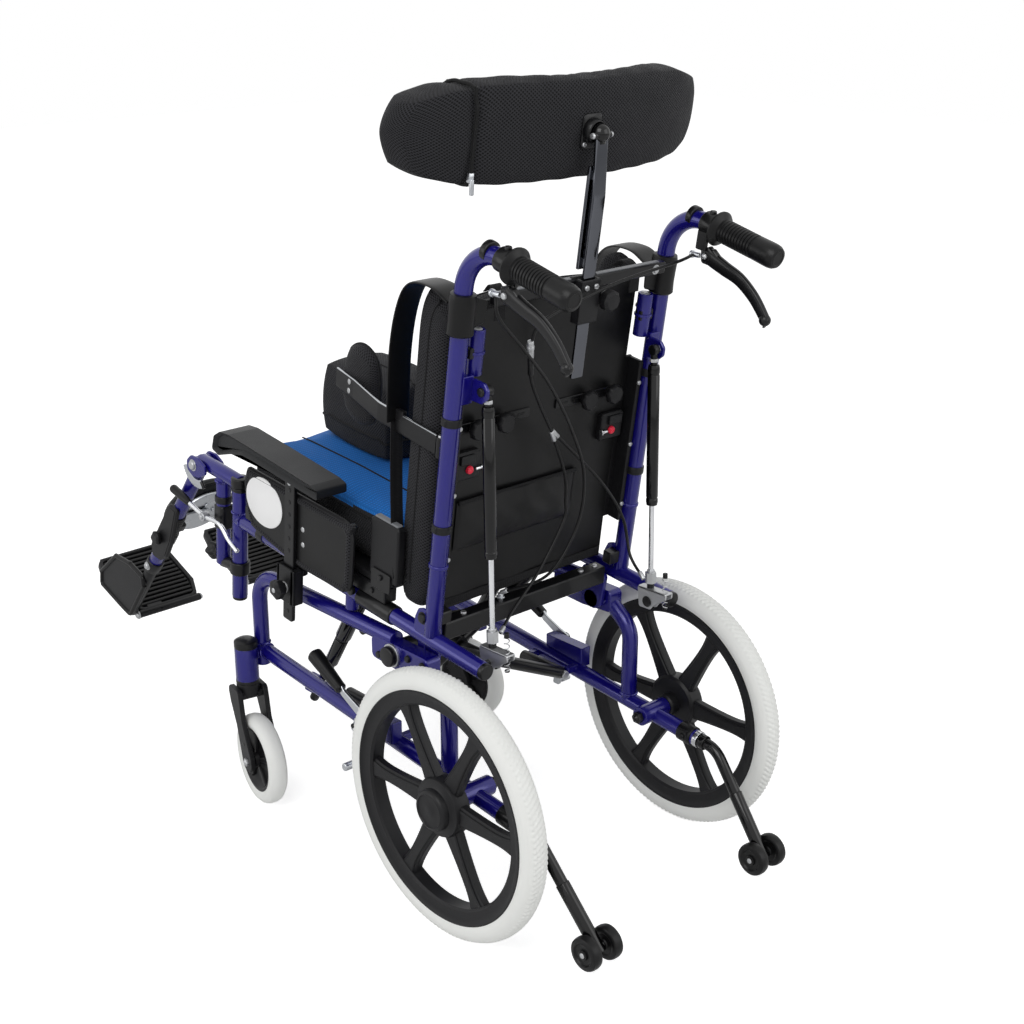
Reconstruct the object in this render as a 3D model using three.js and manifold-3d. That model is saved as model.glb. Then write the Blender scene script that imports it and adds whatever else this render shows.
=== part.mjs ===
// A tilt in space wheelchair with elevating leg rests, a reclining back and a headrest.
// Millimetres, +Z up, the user faces -Y and the user's left hand is at +X.
import * as THREE from 'three';
import { mergeVertices } from 'three/addons/utils/BufferGeometryUtils.js';
import Module from 'manifold-3d';

const wasm = await Module();
wasm.setup();

// Sizes shared by several pieces

const tubeDiameter = 25.4;
const barDiameter = 22;
const boltDiameter = 8;
const plateThickness = 4;
const seatGap = 0.3;
const runningGap = 1;
const overrun = 6;
const bendStepShare = 0.26;
const thinShare = 0.75;
const boltHeadShare = 2;
const pegShare = 0.9;

// Base frame

const wheelDiameter = 406;
const wheelTrack = 487.2;
const baseTubeX = 188;
const frontPostY = -528;
const upperTubeZ = 385;
const upperTubeEnd = 50;
const baseBend = 45;
const lowerTubeFrontZ = 250;
const receiverDrop = 13;
const receiverEndY = 100;
const tiltPivotY = -120;
const tiltPivotZ = 365;
const pivotPlateLength = 130;
const pivotPlateHeight = 38;
const pivotPlateTop = 384;
const pivotPlateFrontShare = 0.73;
const rearPostY = -53;
const rearPostTopZ = 328;
const rearTubeStartY = -95;
const rearBend = 32;
const sleeveDiameter = 30;

// Rear wheels

const tyreSection = 40;
const tyreFootShare = 0.8;
const tyreTreadShare = 0.5;
const tyreDepth = 26.6;
const rimWidth = 33;
const rimDepth = 26;
const hubDiameter = 78;
const hubInner = 29.6;
const hubOuter = 17;
const hubCapDiameter = 40;
const hubCapHeight = 13;
const spokeCount = 6;
const spokeWidth = 34;
const spokeTipShare = 0.62;
const spokeThickness = 12;
const nutDiameter = 20;
const axleInnerX = 160;

// Front casters

const casterStemX = 220;
const casterHousingDiameter = 38;
const casterHousingLength = 70;
const casterHousingZ = 200;
const casterCapHeight = 7;
const casterWheelRadius = 76;
const casterTyreSection = 32;
const casterRimRadius = 53;
const casterTrail = 40;
const casterYaw = 10;
const forkInside = 38;
const forkPlate = 7;
const forkWidth = 30;
const casterHubDiameter = 26;

// Cross brace

const braceDiameter = 20;
const braceRearY = -170;
const braceFrontY = -255;
const braceLowX = 150;
const braceFootRise = 6.2;
const braceHighX = 165;
const braceShaftDiameter = 16;
const braceFootLength = 90;

// Anti tip bars

const antiTipDiameter = 20;
const antiTipBendY = 132;
const antiTipWheelY = 240;
const antiTipWheelZ = 57;
const antiTipWheelDiameter = 50;
const antiTipWheelWidth = 19;
const antiTipLean = 12;
const antiTipInsert = 50;
const antiTipBendRadius = 40;
const antiTipStepShare = 0.42;

// Wheel locks

const lockPivotY = -225;
const lockPivotRise = 26.95;
const lockPivotX = 212.5;
const lockBarWidth = 16;
const lockBarThickness = 6;
const lockGripDiameter = 20;
const lockGripLength = 70;
const lockGripShare = 0.42;
const lockHandleReach = 125;
const lockHandleRise = 60;
const lockShoeDrop = 92;
const lockShoeReach = 18;
const lockShoeDiameter = 13;
const lockShoeLength = 22;
const lockPlateLength = 85;
const lockPlateHeight = 34;

// Seat frame

const seatPitch = 6;
const railX = 190;
const railAboveTilt = 53;
const railRearY = 148;
const frontTubeY = -457;
const frontTubeTop = 104;
const frontTubeFoot = -86;
const lugX = 169;
const lugThickness = 8;
const lugWidth = 34;
const reclineY = 21;
const reclineAboveRail = 34;
const clevisWidth = 30;
const caneTongue = 14;
const hangerPinLength = 26;
const hangerPinDiameter = 15;
const springPivotY = 127;
const springPivotX = 161;
const rearBarY = 15;
const rearBarHeight = 30;
const rearBarDepth = 24;
const panTopAboveRail = 50;
const panHeight = 12;
const panHalfWidth = 198;
const panFrontY = -440;
const panRearY = -62;
const panBeamX = 185;

// Seat cushion and pommel

const cushionWidth = 372;
const cushionLength = 395;
const cushionHeight = 84;
const cushionRearY = -62;
const cushionDrawShare = 0.3;
const cushionRib = 2;
const cushionRibs = 10;
const pommelDrawShare = 0.5;
const pommelSettle = 0.5;
const pommelWidth = 130;
const pommelLength = 185;
const pommelHeight = 128;
const pommelCentreY = -335;

// Tilt struts

const strutX = 160;
const strutFootY = -403;
const strutFootZ = 225;
const strutHeadY = -158;
const strutCylinderDiameter = 26;
const strutCylinderLength = 128;
const strutRodDiameter = 12;
const strutTail = 46;
const strutHeadRoom = 18;
const eyeDiameter = 22;
const eyeThickness = 14;

// Arm rests

const armPanelX = 217;
const armPanelThickness = 10;
const armPanelRearY = -122;
const armPanelFrontY = -402;
const armPanelFoot = 58;
const armPanelTop = 180;
const armPostY = -268;
const armPostX = 226;
const armPostWidth = 24;
const armPostThickness = 7;
const armPostFoot = -36;
const armPadWidth = 54;
const armPadInnerX = 196;
const armPadFrontY = -447;
const armPadRearY = -172;
const armPadTop = 233;
const armPadThickness = 26;
const armPadCurl = 18;
const discLength = 96;
const discHeight = 80;
const discThickness = 2;
const discPlaceShare = 0.21;
const discRiseShare = 0.62;
const armPanelShares = [
  [0.03, 0.97], [0, 0.74], [0.03, 0.36], [0.08, 0.16], [0.23, 0.09], [0.53, 0], [0.99, 0.04], [1, 1],
];
const armPadUnderShare = 0.465;
const armPadShares = [
  [0, 0.1], [0.07, 0], [0.19, 0.3], [0.3, 0.5], [0.4, 0.52], [1, 0.42], [1, 0.75], [0.94, 0.84],
  [0.55, 0.93], [0.17, 1], [0.08, 0.92], [0.02, 0.65],
];
const socketLength = 44;
const socketHeight = 60;
const knobDiameter = 30;

// Leg rests

const hangerTubeY = -505;
const hangerFoot = -44;
const cheekNoseShare = 1.5;
const legPivotY = -567;
const legPivotAbove = 113;
const legAngle = 38.4;
const legSleeveStart = 145;
const legSleeveEnd = 240;
const legInnerStart = 305;
const legInnerShare = 0.88;
const footplateDrop = 442;
const footplateDepth = 159;
const footplateWidth = 140;
const footplateThickness = 14;
const footplatePitch = 22;
const footplateRibs = 7;
const flapHeight = 60;
const flapShares = [
  [-0.1, 0], [0.15, -0.2], [0.71, -0.6], [0.82, -0.2], [0.68, 1], [0.35, 1.5], [0, 1.75], [-0.1, 1.5],
];
const footplateRib = 1.5;
const footplateHeel = 14;
const legTubeClear = 17;
const legTongue = 14;
const calfDrawShare = 0.75;
const calfPadDiameter = 136;
const calfPadThickness = 35;
const calfPadX = 105;
const calfPadDown = 208;
const calfPadAhead = 12;
const leverPivotY = -527;
const leverPivotAbove = 37;
const leverX = 213;
const leverRodDiameter = 8;
const leverGripDiameter = 15;
const leverForward = 94;
const leverBack = 97;
const leverRise = 15;
const leverBendShare = 0.45;
const leverDropBehind = 26;

// Reclining back

const backLean = 2.5;
const caneX = 192;
const caneBack = 11;
const caneCornerUp = 558;
const caneBend = 60;
const caneFootShare = 0.86;
const caneEndBack = 205;
const caneEndUp = 538.2;
const gripFlange = 50;
const gripLength = 112;
const gripDiameter = 34;
const gripGrooves = 9;
const gripGrooveDepth = 1.6;
const gripGrooveShares = [0.4, 0.7];
const grabClampLength = 22;
const clothSleeveFoot = 430;
const clothSleeveTop = 478;
const clothSleeveDiameter = 38;
const sideSocketX = 161;
const sideSocketFoot = 368;
const sideSocketTop = 432;
const springEyeUp = 355;
const springEyeBack = 42;
const crossBarUp = 471;
const crossBarBack = 34;
const crossBarHeight = 17;
const crossBarDepth = 14;
const panelHalfWidth = 163;
const panelFoot = -8;
const panelTop = 458;
const panelFace = -13;
const panelThickness = 6;
const backCushionWidth = 368;
const backCushionFoot = -14;
const backCushionTop = 466;
const backCushionThickness = 60;
const backCushionDrawShare = 0.25;
const panelSideTop = 325;
const panelSideFoot = 60;
const sideBlockX = 142;
const sideBlockUp = 222;
const sideBlockWidth = 46;
const sideBlockHeight = 44;
const slotPlateWidth = 128;
const slotPlateHeight = 16;
const slotPlateX = 90;
const slotPlateUp = 277;
const pocketWidth = 232;
const pocketLeftShare = 0.36;
const pocketHeight = 78;
const pocketFoot = 85;

// Headrest

const stemBarWidth = 22;
const stemBarThickness = 6;
const stemFoot = 345;
const stemBack = 46;
const stemBendUp = 640;
const carrierSocketHeight = 62;
const headWidth = 580;
const headHeight = 140;
const headThickness = 90;
const headWrap = 50;
const headDrawShare = 0.5;
const headCentreUp = 682;
const headBallDiameter = 26;
const headBack = 22;

// Gas springs

const gasCylinderDiameter = 18;
const gasRodDiameter = 8;
const gasCylinderTop = 21;
const gasInsert = 20;
const gasStroke = 84;
const gasCylinderLength = 216;
const gasNutDiameter = 18;
const gasBracketThickness = 3;
const gasBracketRise = 20;
const gasNutRise = 38;
const releaseReach = 34;
const releaseRise = 50;
const releaseSpringDiameter = 9;
const releaseWire = 1.8;
const releaseCurls = 5;
const curlSteps = 8;
const curlSides = 5;
const gasBracketDepth = 46;

// Laterals

const lateralX = 145;
const lateralLength = 84;
const lateralHeight = 128;
const lateralThickness = 32;
const lateralUp = 258;
const lateralBack = -240;
const lateralDrawShare = 0.7;
const lateralHingeX = 188;
const lateralHingeBack = -11;
const lateralArmHeight = 30;
const lateralHinge = 7;

// Hand levers

const brakeX = 188.6;
const brakeBack = 90.7;
const brakeUp = 507.5;
const leverBladeLength = 124;
const leverBladeWidth = 12;
const leverBladeThickness = 9;
const leverBladeDrop = 62;
const kneeShare = 0.6;
const kneeDropShare = 0.25;
const leverBossShare = 1.4;
const leverEndShare = 0.1;

// Cables

const cableDiameter = 6;
const cableSteps = 7;
const connectorShare = 1.6;

// Materials

function finish(color, roughness, metalness) {
  return new THREE.MeshStandardMaterial({ color, roughness, metalness });
}

const bluePaint = finish('#23238f', 0.25, 0.3);
const blackPaint = finish('#141416', 0.4, 0.2);
const blackPlastic = finish('#1b1b1d', 0.55, 0);
const chrome = finish('#c9ccd0', 0.15, 1);
const zinc = finish('#a9adb2', 0.35, 0.9);
const rubber = finish('#1a1a1c', 0.8, 0);
const paleTyre = finish('#dedfdc', 0.7, 0);
const meshCloth = finish('#17181b', 0.9, 0);
const blueCloth = finish('#1f66b5', 0.85, 0);
const padSkin = finish('#2b2c2f', 0.6, 0);

// Small helpers

const tubeSides = 8;
const roundSides = 8;
const smallSides = 12;
const casterSides = 18;
const wheelSides = 26;
const degree = Math.PI / 180;
const railTop = railAboveTilt + tubeDiameter / 2;

// A bore wide enough for a round bar that turns in it

function boreFor(diameter, clearance) {
  return (diameter + 2 * clearance) / Math.cos(Math.PI / roundSides);
}

function bore(start, end, diameter, clearance) {
  const wide = boreFor(diameter, clearance);
  return bar(start, end, wide, roundSides, wide, Math.PI / roundSides);
}

function at(x, y, z) {
  return new THREE.Vector3(x, y, z);
}

function around(middle, size) {
  return [middle - size / 2, middle + size / 2];
}

function span(one, other) {
  return [Math.min(one, other), Math.max(one, other)];
}

// A geometry with shared corners only, its faces pointing out

function closed(geometry) {
  const bare = geometry.clone();
  for (const name of Object.keys(bare.attributes)) {
    if (name !== 'position') bare.deleteAttribute(name);
  }
  const merged = mergeVertices(bare);
  const corners = merged.index.array;
  const points = merged.attributes.position;
  const faces = [];
  const a = new THREE.Vector3();
  const b = new THREE.Vector3();
  const c = new THREE.Vector3();
  let volume = 0;
  for (let i = 0; i < corners.length; i += 3) {
    const [p, q, r] = corners.slice(i, i + 3);
    if (p === q || q === r || r === p) continue;
    faces.push([p, q, r]);
    a.fromBufferAttribute(points, p);
    b.fromBufferAttribute(points, q);
    c.fromBufferAttribute(points, r);
    volume += a.dot(b.cross(c));
  }
  const order = volume < 0 ? faces.map(([p, q, r]) => [p, r, q]) : faces;
  merged.setIndex(order.flat());
  return merged;
}

function solid(geometry) {
  const shape = closed(geometry);
  const mesh = new wasm.Mesh({
    numProp: 3,
    vertProperties: new Float32Array(shape.attributes.position.array),
    triVerts: new Uint32Array(shape.index.array),
  });
  return new wasm.Manifold(mesh);
}

function geometryOf(manifold) {
  const mesh = manifold.getMesh();
  const geometry = new THREE.BufferGeometry();
  geometry.setAttribute('position', new THREE.BufferAttribute(new Float32Array(mesh.vertProperties), 3));
  geometry.setIndex(Array.from(mesh.triVerts));
  return geometry;
}

// Pieces joined into one body, less the cuts

function joined(pieces, cuts = []) {
  let whole = solid(pieces[0]);
  for (const piece of pieces.slice(1)) whole = whole.add(solid(piece));
  for (const cut of cuts) whole = whole.subtract(solid(cut));
  return geometryOf(whole);
}

function mirrored(geometry) {
  const copy = geometry.clone();
  copy.scale(-1, 1, 1);
  return closed(copy);
}

function slab(x, y, z) {
  const geometry = new THREE.BoxGeometry(x[1] - x[0], y[1] - y[0], z[1] - z[0]);
  geometry.translate((x[0] + x[1]) / 2, (y[0] + y[1]) / 2, (z[0] + z[1]) / 2);
  return geometry;
}

// A straight round bar between two points

function bar(start, end, diameter, sides = tubeSides, endDiameter = diameter, turn = 0) {
  const length = start.distanceTo(end);
  const geometry = new THREE.CylinderGeometry(endDiameter / 2, diameter / 2, length, sides);
  geometry.rotateY(turn);
  const along = end.clone().sub(start).normalize();
  geometry.applyQuaternion(new THREE.Quaternion().setFromUnitVectors(at(0, 1, 0), along));
  const middle = start.clone().add(end).multiplyScalar(0.5);
  geometry.translate(middle.x, middle.y, middle.z);
  return geometry;
}

function barX(x, y, z, diameter, sides = roundSides) {
  return bar(at(x[0], y, z), at(x[1], y, z), diameter, sides);
}

// A route of straight runs and round corners, given by its stations

class BentPath extends THREE.Curve {
  constructor(points, radius) {
    super();
    this.stations = [points[0]];
    this.headings = [points[1].clone().sub(points[0]).normalize()];
    for (let i = 1; i < points.length - 1; i += 1) this.turn(points, i, radius);
    const last = points.length - 1;
    this.stations.push(points[last]);
    this.headings.push(points[last].clone().sub(points[last - 1]).normalize());
  }

  turn(points, i, radius) {
    const before = points[i].clone().sub(points[i - 1]);
    const after = points[i + 1].clone().sub(points[i]);
    const into = before.clone().normalize();
    const out = after.clone().normalize();
    const angle = into.angleTo(out);
    if (angle < bendStepShare / 4) return;
    const room = Math.min(before.length(), after.length()) / 2;
    const setback = Math.min(radius * Math.tan(angle / 2), room);
    const start = points[i].clone().addScaledVector(into, -setback);
    const bend = setback / Math.tan(angle / 2);
    const across = out.clone().addScaledVector(into, -out.dot(into)).normalize();
    const steps = Math.max(1, Math.round(angle / (2 * bendStepShare)));
    for (let k = 0; k <= steps; k += 1) {
      const turned = (angle * k) / steps;
      const point = start.clone().addScaledVector(into, bend * Math.sin(turned));
      point.addScaledVector(across, bend * (1 - Math.cos(turned)));
      this.stations.push(point);
      const heading = into.clone().multiplyScalar(Math.cos(turned));
      this.headings.push(heading.addScaledVector(across, Math.sin(turned)));
    }
  }

  getPoint(share) {
    return this.stations[Math.round(share * (this.stations.length - 1))].clone();
  }

  getPointAt(share) {
    return this.getPoint(share);
  }

  getTangentAt(share) {
    return this.headings[Math.round(share * (this.stations.length - 1))].clone();
  }
}

function ring(diameter, sides) {
  const shape = new THREE.Shape();
  for (let i = 0; i < sides; i += 1) {
    const angle = (2 * Math.PI * i) / sides;
    const x = (diameter / 2) * Math.cos(angle);
    const y = (diameter / 2) * Math.sin(angle);
    if (i === 0) shape.moveTo(x, y);
    else shape.lineTo(x, y);
  }
  return shape;
}

function tube(points, diameter, radius, sides = tubeSides) {
  const path = new BentPath(points, radius);
  const steps = path.stations.length - 1;
  return new THREE.ExtrudeGeometry(ring(diameter, sides), { steps, extrudePath: path });
}

function outline(points) {
  return new THREE.Shape(points.map(([u, v]) => new THREE.Vector2(u, v)));
}

// A flat plate in a side view, its outline given as [y, z]

function sidePlate(points, x) {
  const geometry = new THREE.ExtrudeGeometry(outline(points), { depth: x[1] - x[0], bevelEnabled: false });
  geometry.applyMatrix4(new THREE.Matrix4().makeBasis(at(0, 1, 0), at(0, 0, 1), at(1, 0, 0)));
  geometry.translate(x[0], 0, 0);
  return geometry;
}

// A round piece turned about X, its profile given as [radius, x]

function turnedX(profile, segments) {
  const geometry = new THREE.LatheGeometry(profile.map(([r, x]) => new THREE.Vector2(r, x)), segments);
  geometry.rotateZ(-Math.PI / 2);
  return geometry;
}

// A soft block: its edges are drawn in, so each face is crowned, and a wave gives it ribs

function softBlock(size, counts, drawnInShare, wave = () => 0) {
  const geometry = new THREE.BoxGeometry(1, 1, 1, ...counts);
  const points = geometry.attributes.position;
  const pull = (u, v, w) => {
    const flat = 1 - (drawnInShare * (v * v + w * w)) / 2;
    return u * Math.sqrt(flat + (drawnInShare * drawnInShare * v * v * w * w) / 3);
  };
  for (let i = 0; i < points.count; i += 1) {
    const u = 2 * points.getX(i);
    const v = 2 * points.getY(i);
    const w = 2 * points.getZ(i);
    const x = (pull(u, v, w) * size[0]) / 2;
    const y = (pull(v, w, u) * size[1]) / 2;
    const z = (pull(w, u, v) * size[2]) / 2 + wave(u, v, w);
    points.setXYZ(i, x, y, z);
  }
  return closed(geometry);
}

// Nested groups: the chair, the seat that tilts on it and the back that reclines on the seat

const chair = new THREE.Group();
const seat = new THREE.Group();
const back = new THREE.Group();
seat.position.set(0, tiltPivotY, tiltPivotZ);
seat.rotation.x = -seatPitch * degree;
const reclinePivot = at(0, reclineY, railTop + reclineAboveRail - tubeDiameter / 2);
back.position.copy(reclinePivot);
back.rotation.x = -backLean * degree;
chair.add(seat);
seat.add(back);

function piece(name, geometry, material, parent, place = at(0, 0, 0), turn = [0, 0, 0]) {
  const mesh = new THREE.Mesh(geometry, material);
  mesh.name = name;
  mesh.position.copy(place);
  mesh.rotation.set(...turn);
  parent.add(mesh);
  return mesh;
}

function both(name, geometry, material, parent, place = at(0, 0, 0), turn = [0, 0, 0]) {
  piece(`${name}_left`, geometry, material, parent, place, turn);
  const across = at(-place.x, place.y, place.z);
  piece(`${name}_right`, mirrored(geometry), material, parent, across, [turn[0], -turn[1], -turn[2]]);
}

// Base frame: a bent main tube, a straight lower tube and a bent rear tube on each side

const axleZ = wheelDiameter / 2;
const wheelX = wheelTrack / 2;
const tyreInnerX = wheelX - tyreSection / 2;
const rimEdgeRadius = axleZ - tyreDepth;
const lowerTubeRearZ = axleZ - receiverDrop;
const lowerSlope = (lowerTubeFrontZ - lowerTubeRearZ) / (receiverEndY - frontPostY);

const braceHighZ = upperTubeZ - tubeDiameter / 2;

function lowerTubeZ(y) {
  return lowerTubeFrontZ - lowerSlope * (y - frontPostY);
}

const braceLowZ = lowerTubeZ(braceRearY) + braceFootRise;
const lockPivotZ = lowerTubeZ(lockPivotY) + lockPivotRise;

function baseFrame() {
  const x = baseTubeX;
  const plateFront = tiltPivotY - pivotPlateLength * pivotPlateFrontShare;
  const plateY = [plateFront, plateFront + pivotPlateLength];
  const plateX = around(x, tubeDiameter / 2);
  const boss = [lugX + lugThickness / 2 + seatGap, x];
  const strutFace = strutX + eyeThickness / 2 + seatGap;
  const strutPlateX = [strutFace, strutFace + plateThickness];
  const strutTop = lowerTubeZ(strutFootY) + plateThickness / 2;
  const strutBracket = [
    [strutFootY - eyeDiameter / 2, strutTop],
    [strutFootY - eyeDiameter / 2, strutFootZ - eyeDiameter / 2],
    [strutFootY + eyeDiameter / 2, strutFootZ - eyeDiameter / 2],
    [strutFootY + eyeDiameter / 2, strutTop],
  ];
  const lockY = [lockPivotY - lockPlateLength / 4, lockPivotY + (lockPlateLength * 3) / 4];
  const lockZ = around(lowerTubeZ(lockPivotY) + lockPlateHeight / 2, lockPlateHeight);
  const housingTop = casterHousingZ + casterHousingLength;
  return joined([
    tube([
      at(x, frontPostY, lowerTubeFrontZ - tubeDiameter),
      at(x, frontPostY, upperTubeZ),
      at(x, tiltPivotY - upperTubeEnd, upperTubeZ),
    ], tubeDiameter, baseBend),
    tube([
      at(x, rearTubeStartY - tubeDiameter / 2, tiltPivotZ),
      at(x, rearPostY, rearPostTopZ),
      at(x, rearPostY, lowerTubeZ(rearPostY)),
    ], tubeDiameter, rearBend),
    bar(at(x, frontPostY, lowerTubeFrontZ), at(x, receiverEndY, lowerTubeRearZ), tubeDiameter, roundSides),
    sidePlate([
      [plateY[0], pivotPlateTop], [plateY[0], pivotPlateTop - pivotPlateHeight],
      [plateY[1], pivotPlateTop - pivotPlateHeight], [plateY[1], pivotPlateTop],
    ], plateX),
    barX(boss, tiltPivotY, tiltPivotZ, barDiameter),
    bar(at(casterStemX, frontPostY, casterHousingZ), at(casterStemX, frontPostY, housingTop),
      casterHousingDiameter, roundSides),
    bar(at(casterStemX, frontPostY, housingTop), at(casterStemX, frontPostY, housingTop + casterCapHeight),
      casterHousingDiameter, roundSides, casterHousingDiameter / 2),
    slab([x, casterStemX], around(frontPostY, tubeDiameter / 2), around(lowerTubeFrontZ, tubeDiameter)),
    barX([axleInnerX, wheelX - hubInner - seatGap], 0, axleZ, sleeveDiameter),
    barX([axleInnerX - boltDiameter, axleInnerX], 0, axleZ, nutDiameter, 6),
    sidePlate(strutBracket, strutPlateX),
    slab([strutFace, x], around(strutFootY, eyeDiameter), around(lowerTubeZ(strutFootY), plateThickness)),
    slab([x, lockPivotX - lockBarThickness / 2 - seatGap], lockY, lockZ),
    ...braceSeats(braceRearY),
    ...braceSeats(braceFrontY),
  ], [
    bore(at(x, receiverEndY - antiTipInsert, lowerTubeZ(receiverEndY - antiTipInsert)),
      at(x, receiverEndY + overrun, lowerTubeZ(receiverEndY + overrun)), antiTipDiameter, seatGap),
  ]);
}

function braceSeats(y) {
  const footX = [braceLowX + braceDiameter / 2 + seatGap, baseTubeX];
  const headX = [braceHighX + eyeThickness / 2 + seatGap, baseTubeX];
  return [
    slab(footX, around(y, barDiameter / 2), around(braceLowZ, barDiameter / 2)),
    barX(headX, y, braceHighZ, braceShaftDiameter, tubeSides),
  ];
}

both('base_frame', baseFrame(), bluePaint, chair);

// Cross brace: two arms that pass each other on one shaft

function braceArm(side, y) {
  const low = at(side * braceLowX, y, braceLowZ);
  const high = at(-side * braceHighX, y, braceHighZ);
  const headX = around(-side * braceHighX, eyeThickness);
  return [
    bar(low, high, braceDiameter),
    bar(low, at(low.x, y - braceFootLength, braceLowZ), braceDiameter),
    barX(headX, y, braceHighZ, eyeDiameter),
  ];
}

const braceCrossShare = braceLowX / (braceLowX + braceHighX);
const braceShaftZ = braceLowZ + (braceHighZ - braceLowZ) * braceCrossShare;
const shaftEndY = braceFrontY + braceDiameter / 2 + seatGap;
const shaft = bar(at(0, braceRearY, braceShaftZ), at(0, shaftEndY, braceShaftZ), braceShaftDiameter);
piece('cross_brace_a', joined([...braceArm(-1, braceRearY), shaft]), blackPaint, chair);
piece('cross_brace_b', joined(braceArm(1, braceFrontY)), blackPaint, chair);

// Rear wheels: a pneumatic style tyre on a six spoke rim

function rearRim() {
  const half = rimWidth / 2;
  const inner = rimEdgeRadius - rimDepth;
  const well = rimEdgeRadius - rimDepth / 2;
  const rim = turnedX([
    [well, -half], [rimEdgeRadius, -half], [rimEdgeRadius, half], [well, half],
    [inner, half / 2], [inner, -half / 2], [well, -half],
  ], wheelSides);
  const hub = hubDiameter / 2;
  const cap = hubCapDiameter / 2;
  const hubBody = turnedX([
    [0, -hubInner], [sleeveDiameter / 2, -hubInner], [sleeveDiameter / 2, -spokeThickness],
    [hub, -spokeThickness], [hub, spokeThickness], [cap, hubOuter], [cap, hubOuter + hubCapHeight / 2],
    [cap / 2, hubOuter + hubCapHeight], [0, hubOuter + hubCapHeight],
  ], smallSides);
  const spokes = [];
  for (let i = 0; i < spokeCount; i += 1) {
    const tip = (spokeWidth * spokeTipShare) / 2;
    const foot = spokeWidth / 2;
    const spoke = sidePlate([
      [-foot, hub / 2], [foot, hub / 2], [tip, inner + half / 4], [-tip, inner + half / 4],
    ], around(0, spokeThickness));
    spoke.rotateX((2 * Math.PI * i) / spokeCount);
    spokes.push(spoke);
  }
  return joined([rim, hubBody, ...spokes]);
}

function rearTyre() {
  const inner = rimEdgeRadius + seatGap;
  const outer = wheelDiameter / 2;
  const half = tyreSection / 2;
  const shoulder = (inner + 2 * outer) / 3;
  return closed(turnedX([
    [inner, -half * tyreFootShare], [shoulder, -half], [outer, -half * tyreTreadShare],
    [outer, half * tyreTreadShare], [shoulder, half], [inner, half * tyreFootShare],
    [inner, -half * tyreFootShare],
  ], wheelSides));
}

const axlePoint = at(wheelX, 0, axleZ);
both('rear_rim', rearRim(), blackPlastic, chair, axlePoint);
both('rear_tyre', rearTyre(), paleTyre, chair, axlePoint);

// Casters: a fork that trails below the front post and a wheel with its tyre moulded on

function casterFork() {
  const top = casterHousingZ - seatGap;
  const half = forkInside / 2;
  const width = forkWidth / 2;
  const crown = top - forkWidth / 2;
  const leg = [
    [-width, crown], [width, crown], [casterTrail + casterHubDiameter / 2, casterWheelRadius],
    [casterTrail + casterHubDiameter / 4, casterWheelRadius - casterHubDiameter / 2],
    [casterTrail - casterHubDiameter / 4, casterWheelRadius - casterHubDiameter / 2],
    [casterTrail - casterHubDiameter / 2, casterWheelRadius],
  ];
  const pieces = [
    bar(at(0, 0, crown - seatGap), at(0, 0, top), casterHousingDiameter, roundSides),
    slab(around(0, forkInside + 2 * forkPlate), around(0, forkWidth), [crown - forkPlate, crown]),
  ];
  for (const side of [-1, 1]) {
    const outer = side * (half + forkPlate);
    const head = span(outer, outer + side * plateThickness);
    pieces.push(sidePlate(leg, span(side * half, outer)));
    pieces.push(barX(head, casterTrail, casterWheelRadius, boltDiameter * boltHeadShare, 6));
  }
  return joined(pieces);
}

function casterWheel() {
  const half = casterTyreSection / 2;
  const reach = forkInside / 2 - seatGap;
  const hub = casterHubDiameter / 2;
  const dish = half / 2;
  const side = [
    [0, reach], [hub / 2, reach], [hub, dish / 2], [casterRimRadius - dish, dish / 2],
    [casterRimRadius, half * tyreFootShare], [casterWheelRadius - dish, half],
    [casterWheelRadius, half * tyreTreadShare],
  ];
  const other = side.map(([r, x]) => [r, -x]);
  return closed(turnedX([...other, ...side.reverse()], casterSides));
}

const yaw = -casterYaw * degree;
both('caster_fork', casterFork(), blackPaint, chair, at(casterStemX, frontPostY, 0), [0, 0, yaw]);
const trailX = casterTrail * Math.sin(-yaw);
const trailY = casterTrail * Math.cos(yaw);
const casterAxle = at(casterStemX + trailX, frontPostY + trailY, casterWheelRadius);
both('caster_wheel', casterWheel(), paleTyre, chair, casterAxle, [0, 0, yaw]);

// Anti tip bars: a bent tube in the end of each lower tube, with a pair of small wheels

const tipStartY = receiverEndY - antiTipInsert + overrun;
const tipWheel = at(baseTubeX - antiTipLean, antiTipWheelY, antiTipWheelZ);
const tipBend = at(baseTubeX, antiTipBendY, lowerTubeZ(antiTipBendY));

function antiTipTube() {
  const collarY = receiverEndY + seatGap;
  const collarStart = at(baseTubeX, collarY, lowerTubeZ(collarY));
  const insertStart = at(baseTubeX, tipStartY, lowerTubeZ(tipStartY));
  const thin = at(0, 0, 0).lerpVectors(tipBend, tipWheel, antiTipStepShare);
  return joined([
    tube([insertStart, tipBend, thin], antiTipDiameter, antiTipBendRadius),
    bar(collarStart, collarStart.clone().lerp(tipBend, antiTipStepShare / 2), tubeDiameter, roundSides),
    bar(thin.clone().lerp(tipBend, antiTipStepShare), tipWheel, antiTipDiameter * thinShare),
  ]);
}

function antiTipWheels() {
  const radius = antiTipWheelDiameter / 2;
  const inner = antiTipDiameter / 2 + seatGap;
  const outer = inner + antiTipWheelWidth;
  const soft = antiTipWheelWidth / 4;
  const wheels = [-1, 1].map((side) => turnedX([
    [0, side * inner], [radius / 2, side * inner], [radius - soft, side * (inner + seatGap)],
    [radius, side * (inner + soft)], [radius, side * (outer - soft)],
    [radius - soft, side * outer], [0, side * outer],
  ], smallSides));
  return joined([...wheels, barX([-outer, outer], 0, 0, boltDiameter)]);
}

const tipBoreX = around(tipWheel.x, 2 * antiTipDiameter);
const tipBore = barX(tipBoreX, tipWheel.y, tipWheel.z, boltDiameter + runningGap);
both('anti_tip_tube', joined([antiTipTube()], [tipBore]), blackPaint, chair);
both('anti_tip_wheels', antiTipWheels(), rubber, chair, tipWheel);

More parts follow.
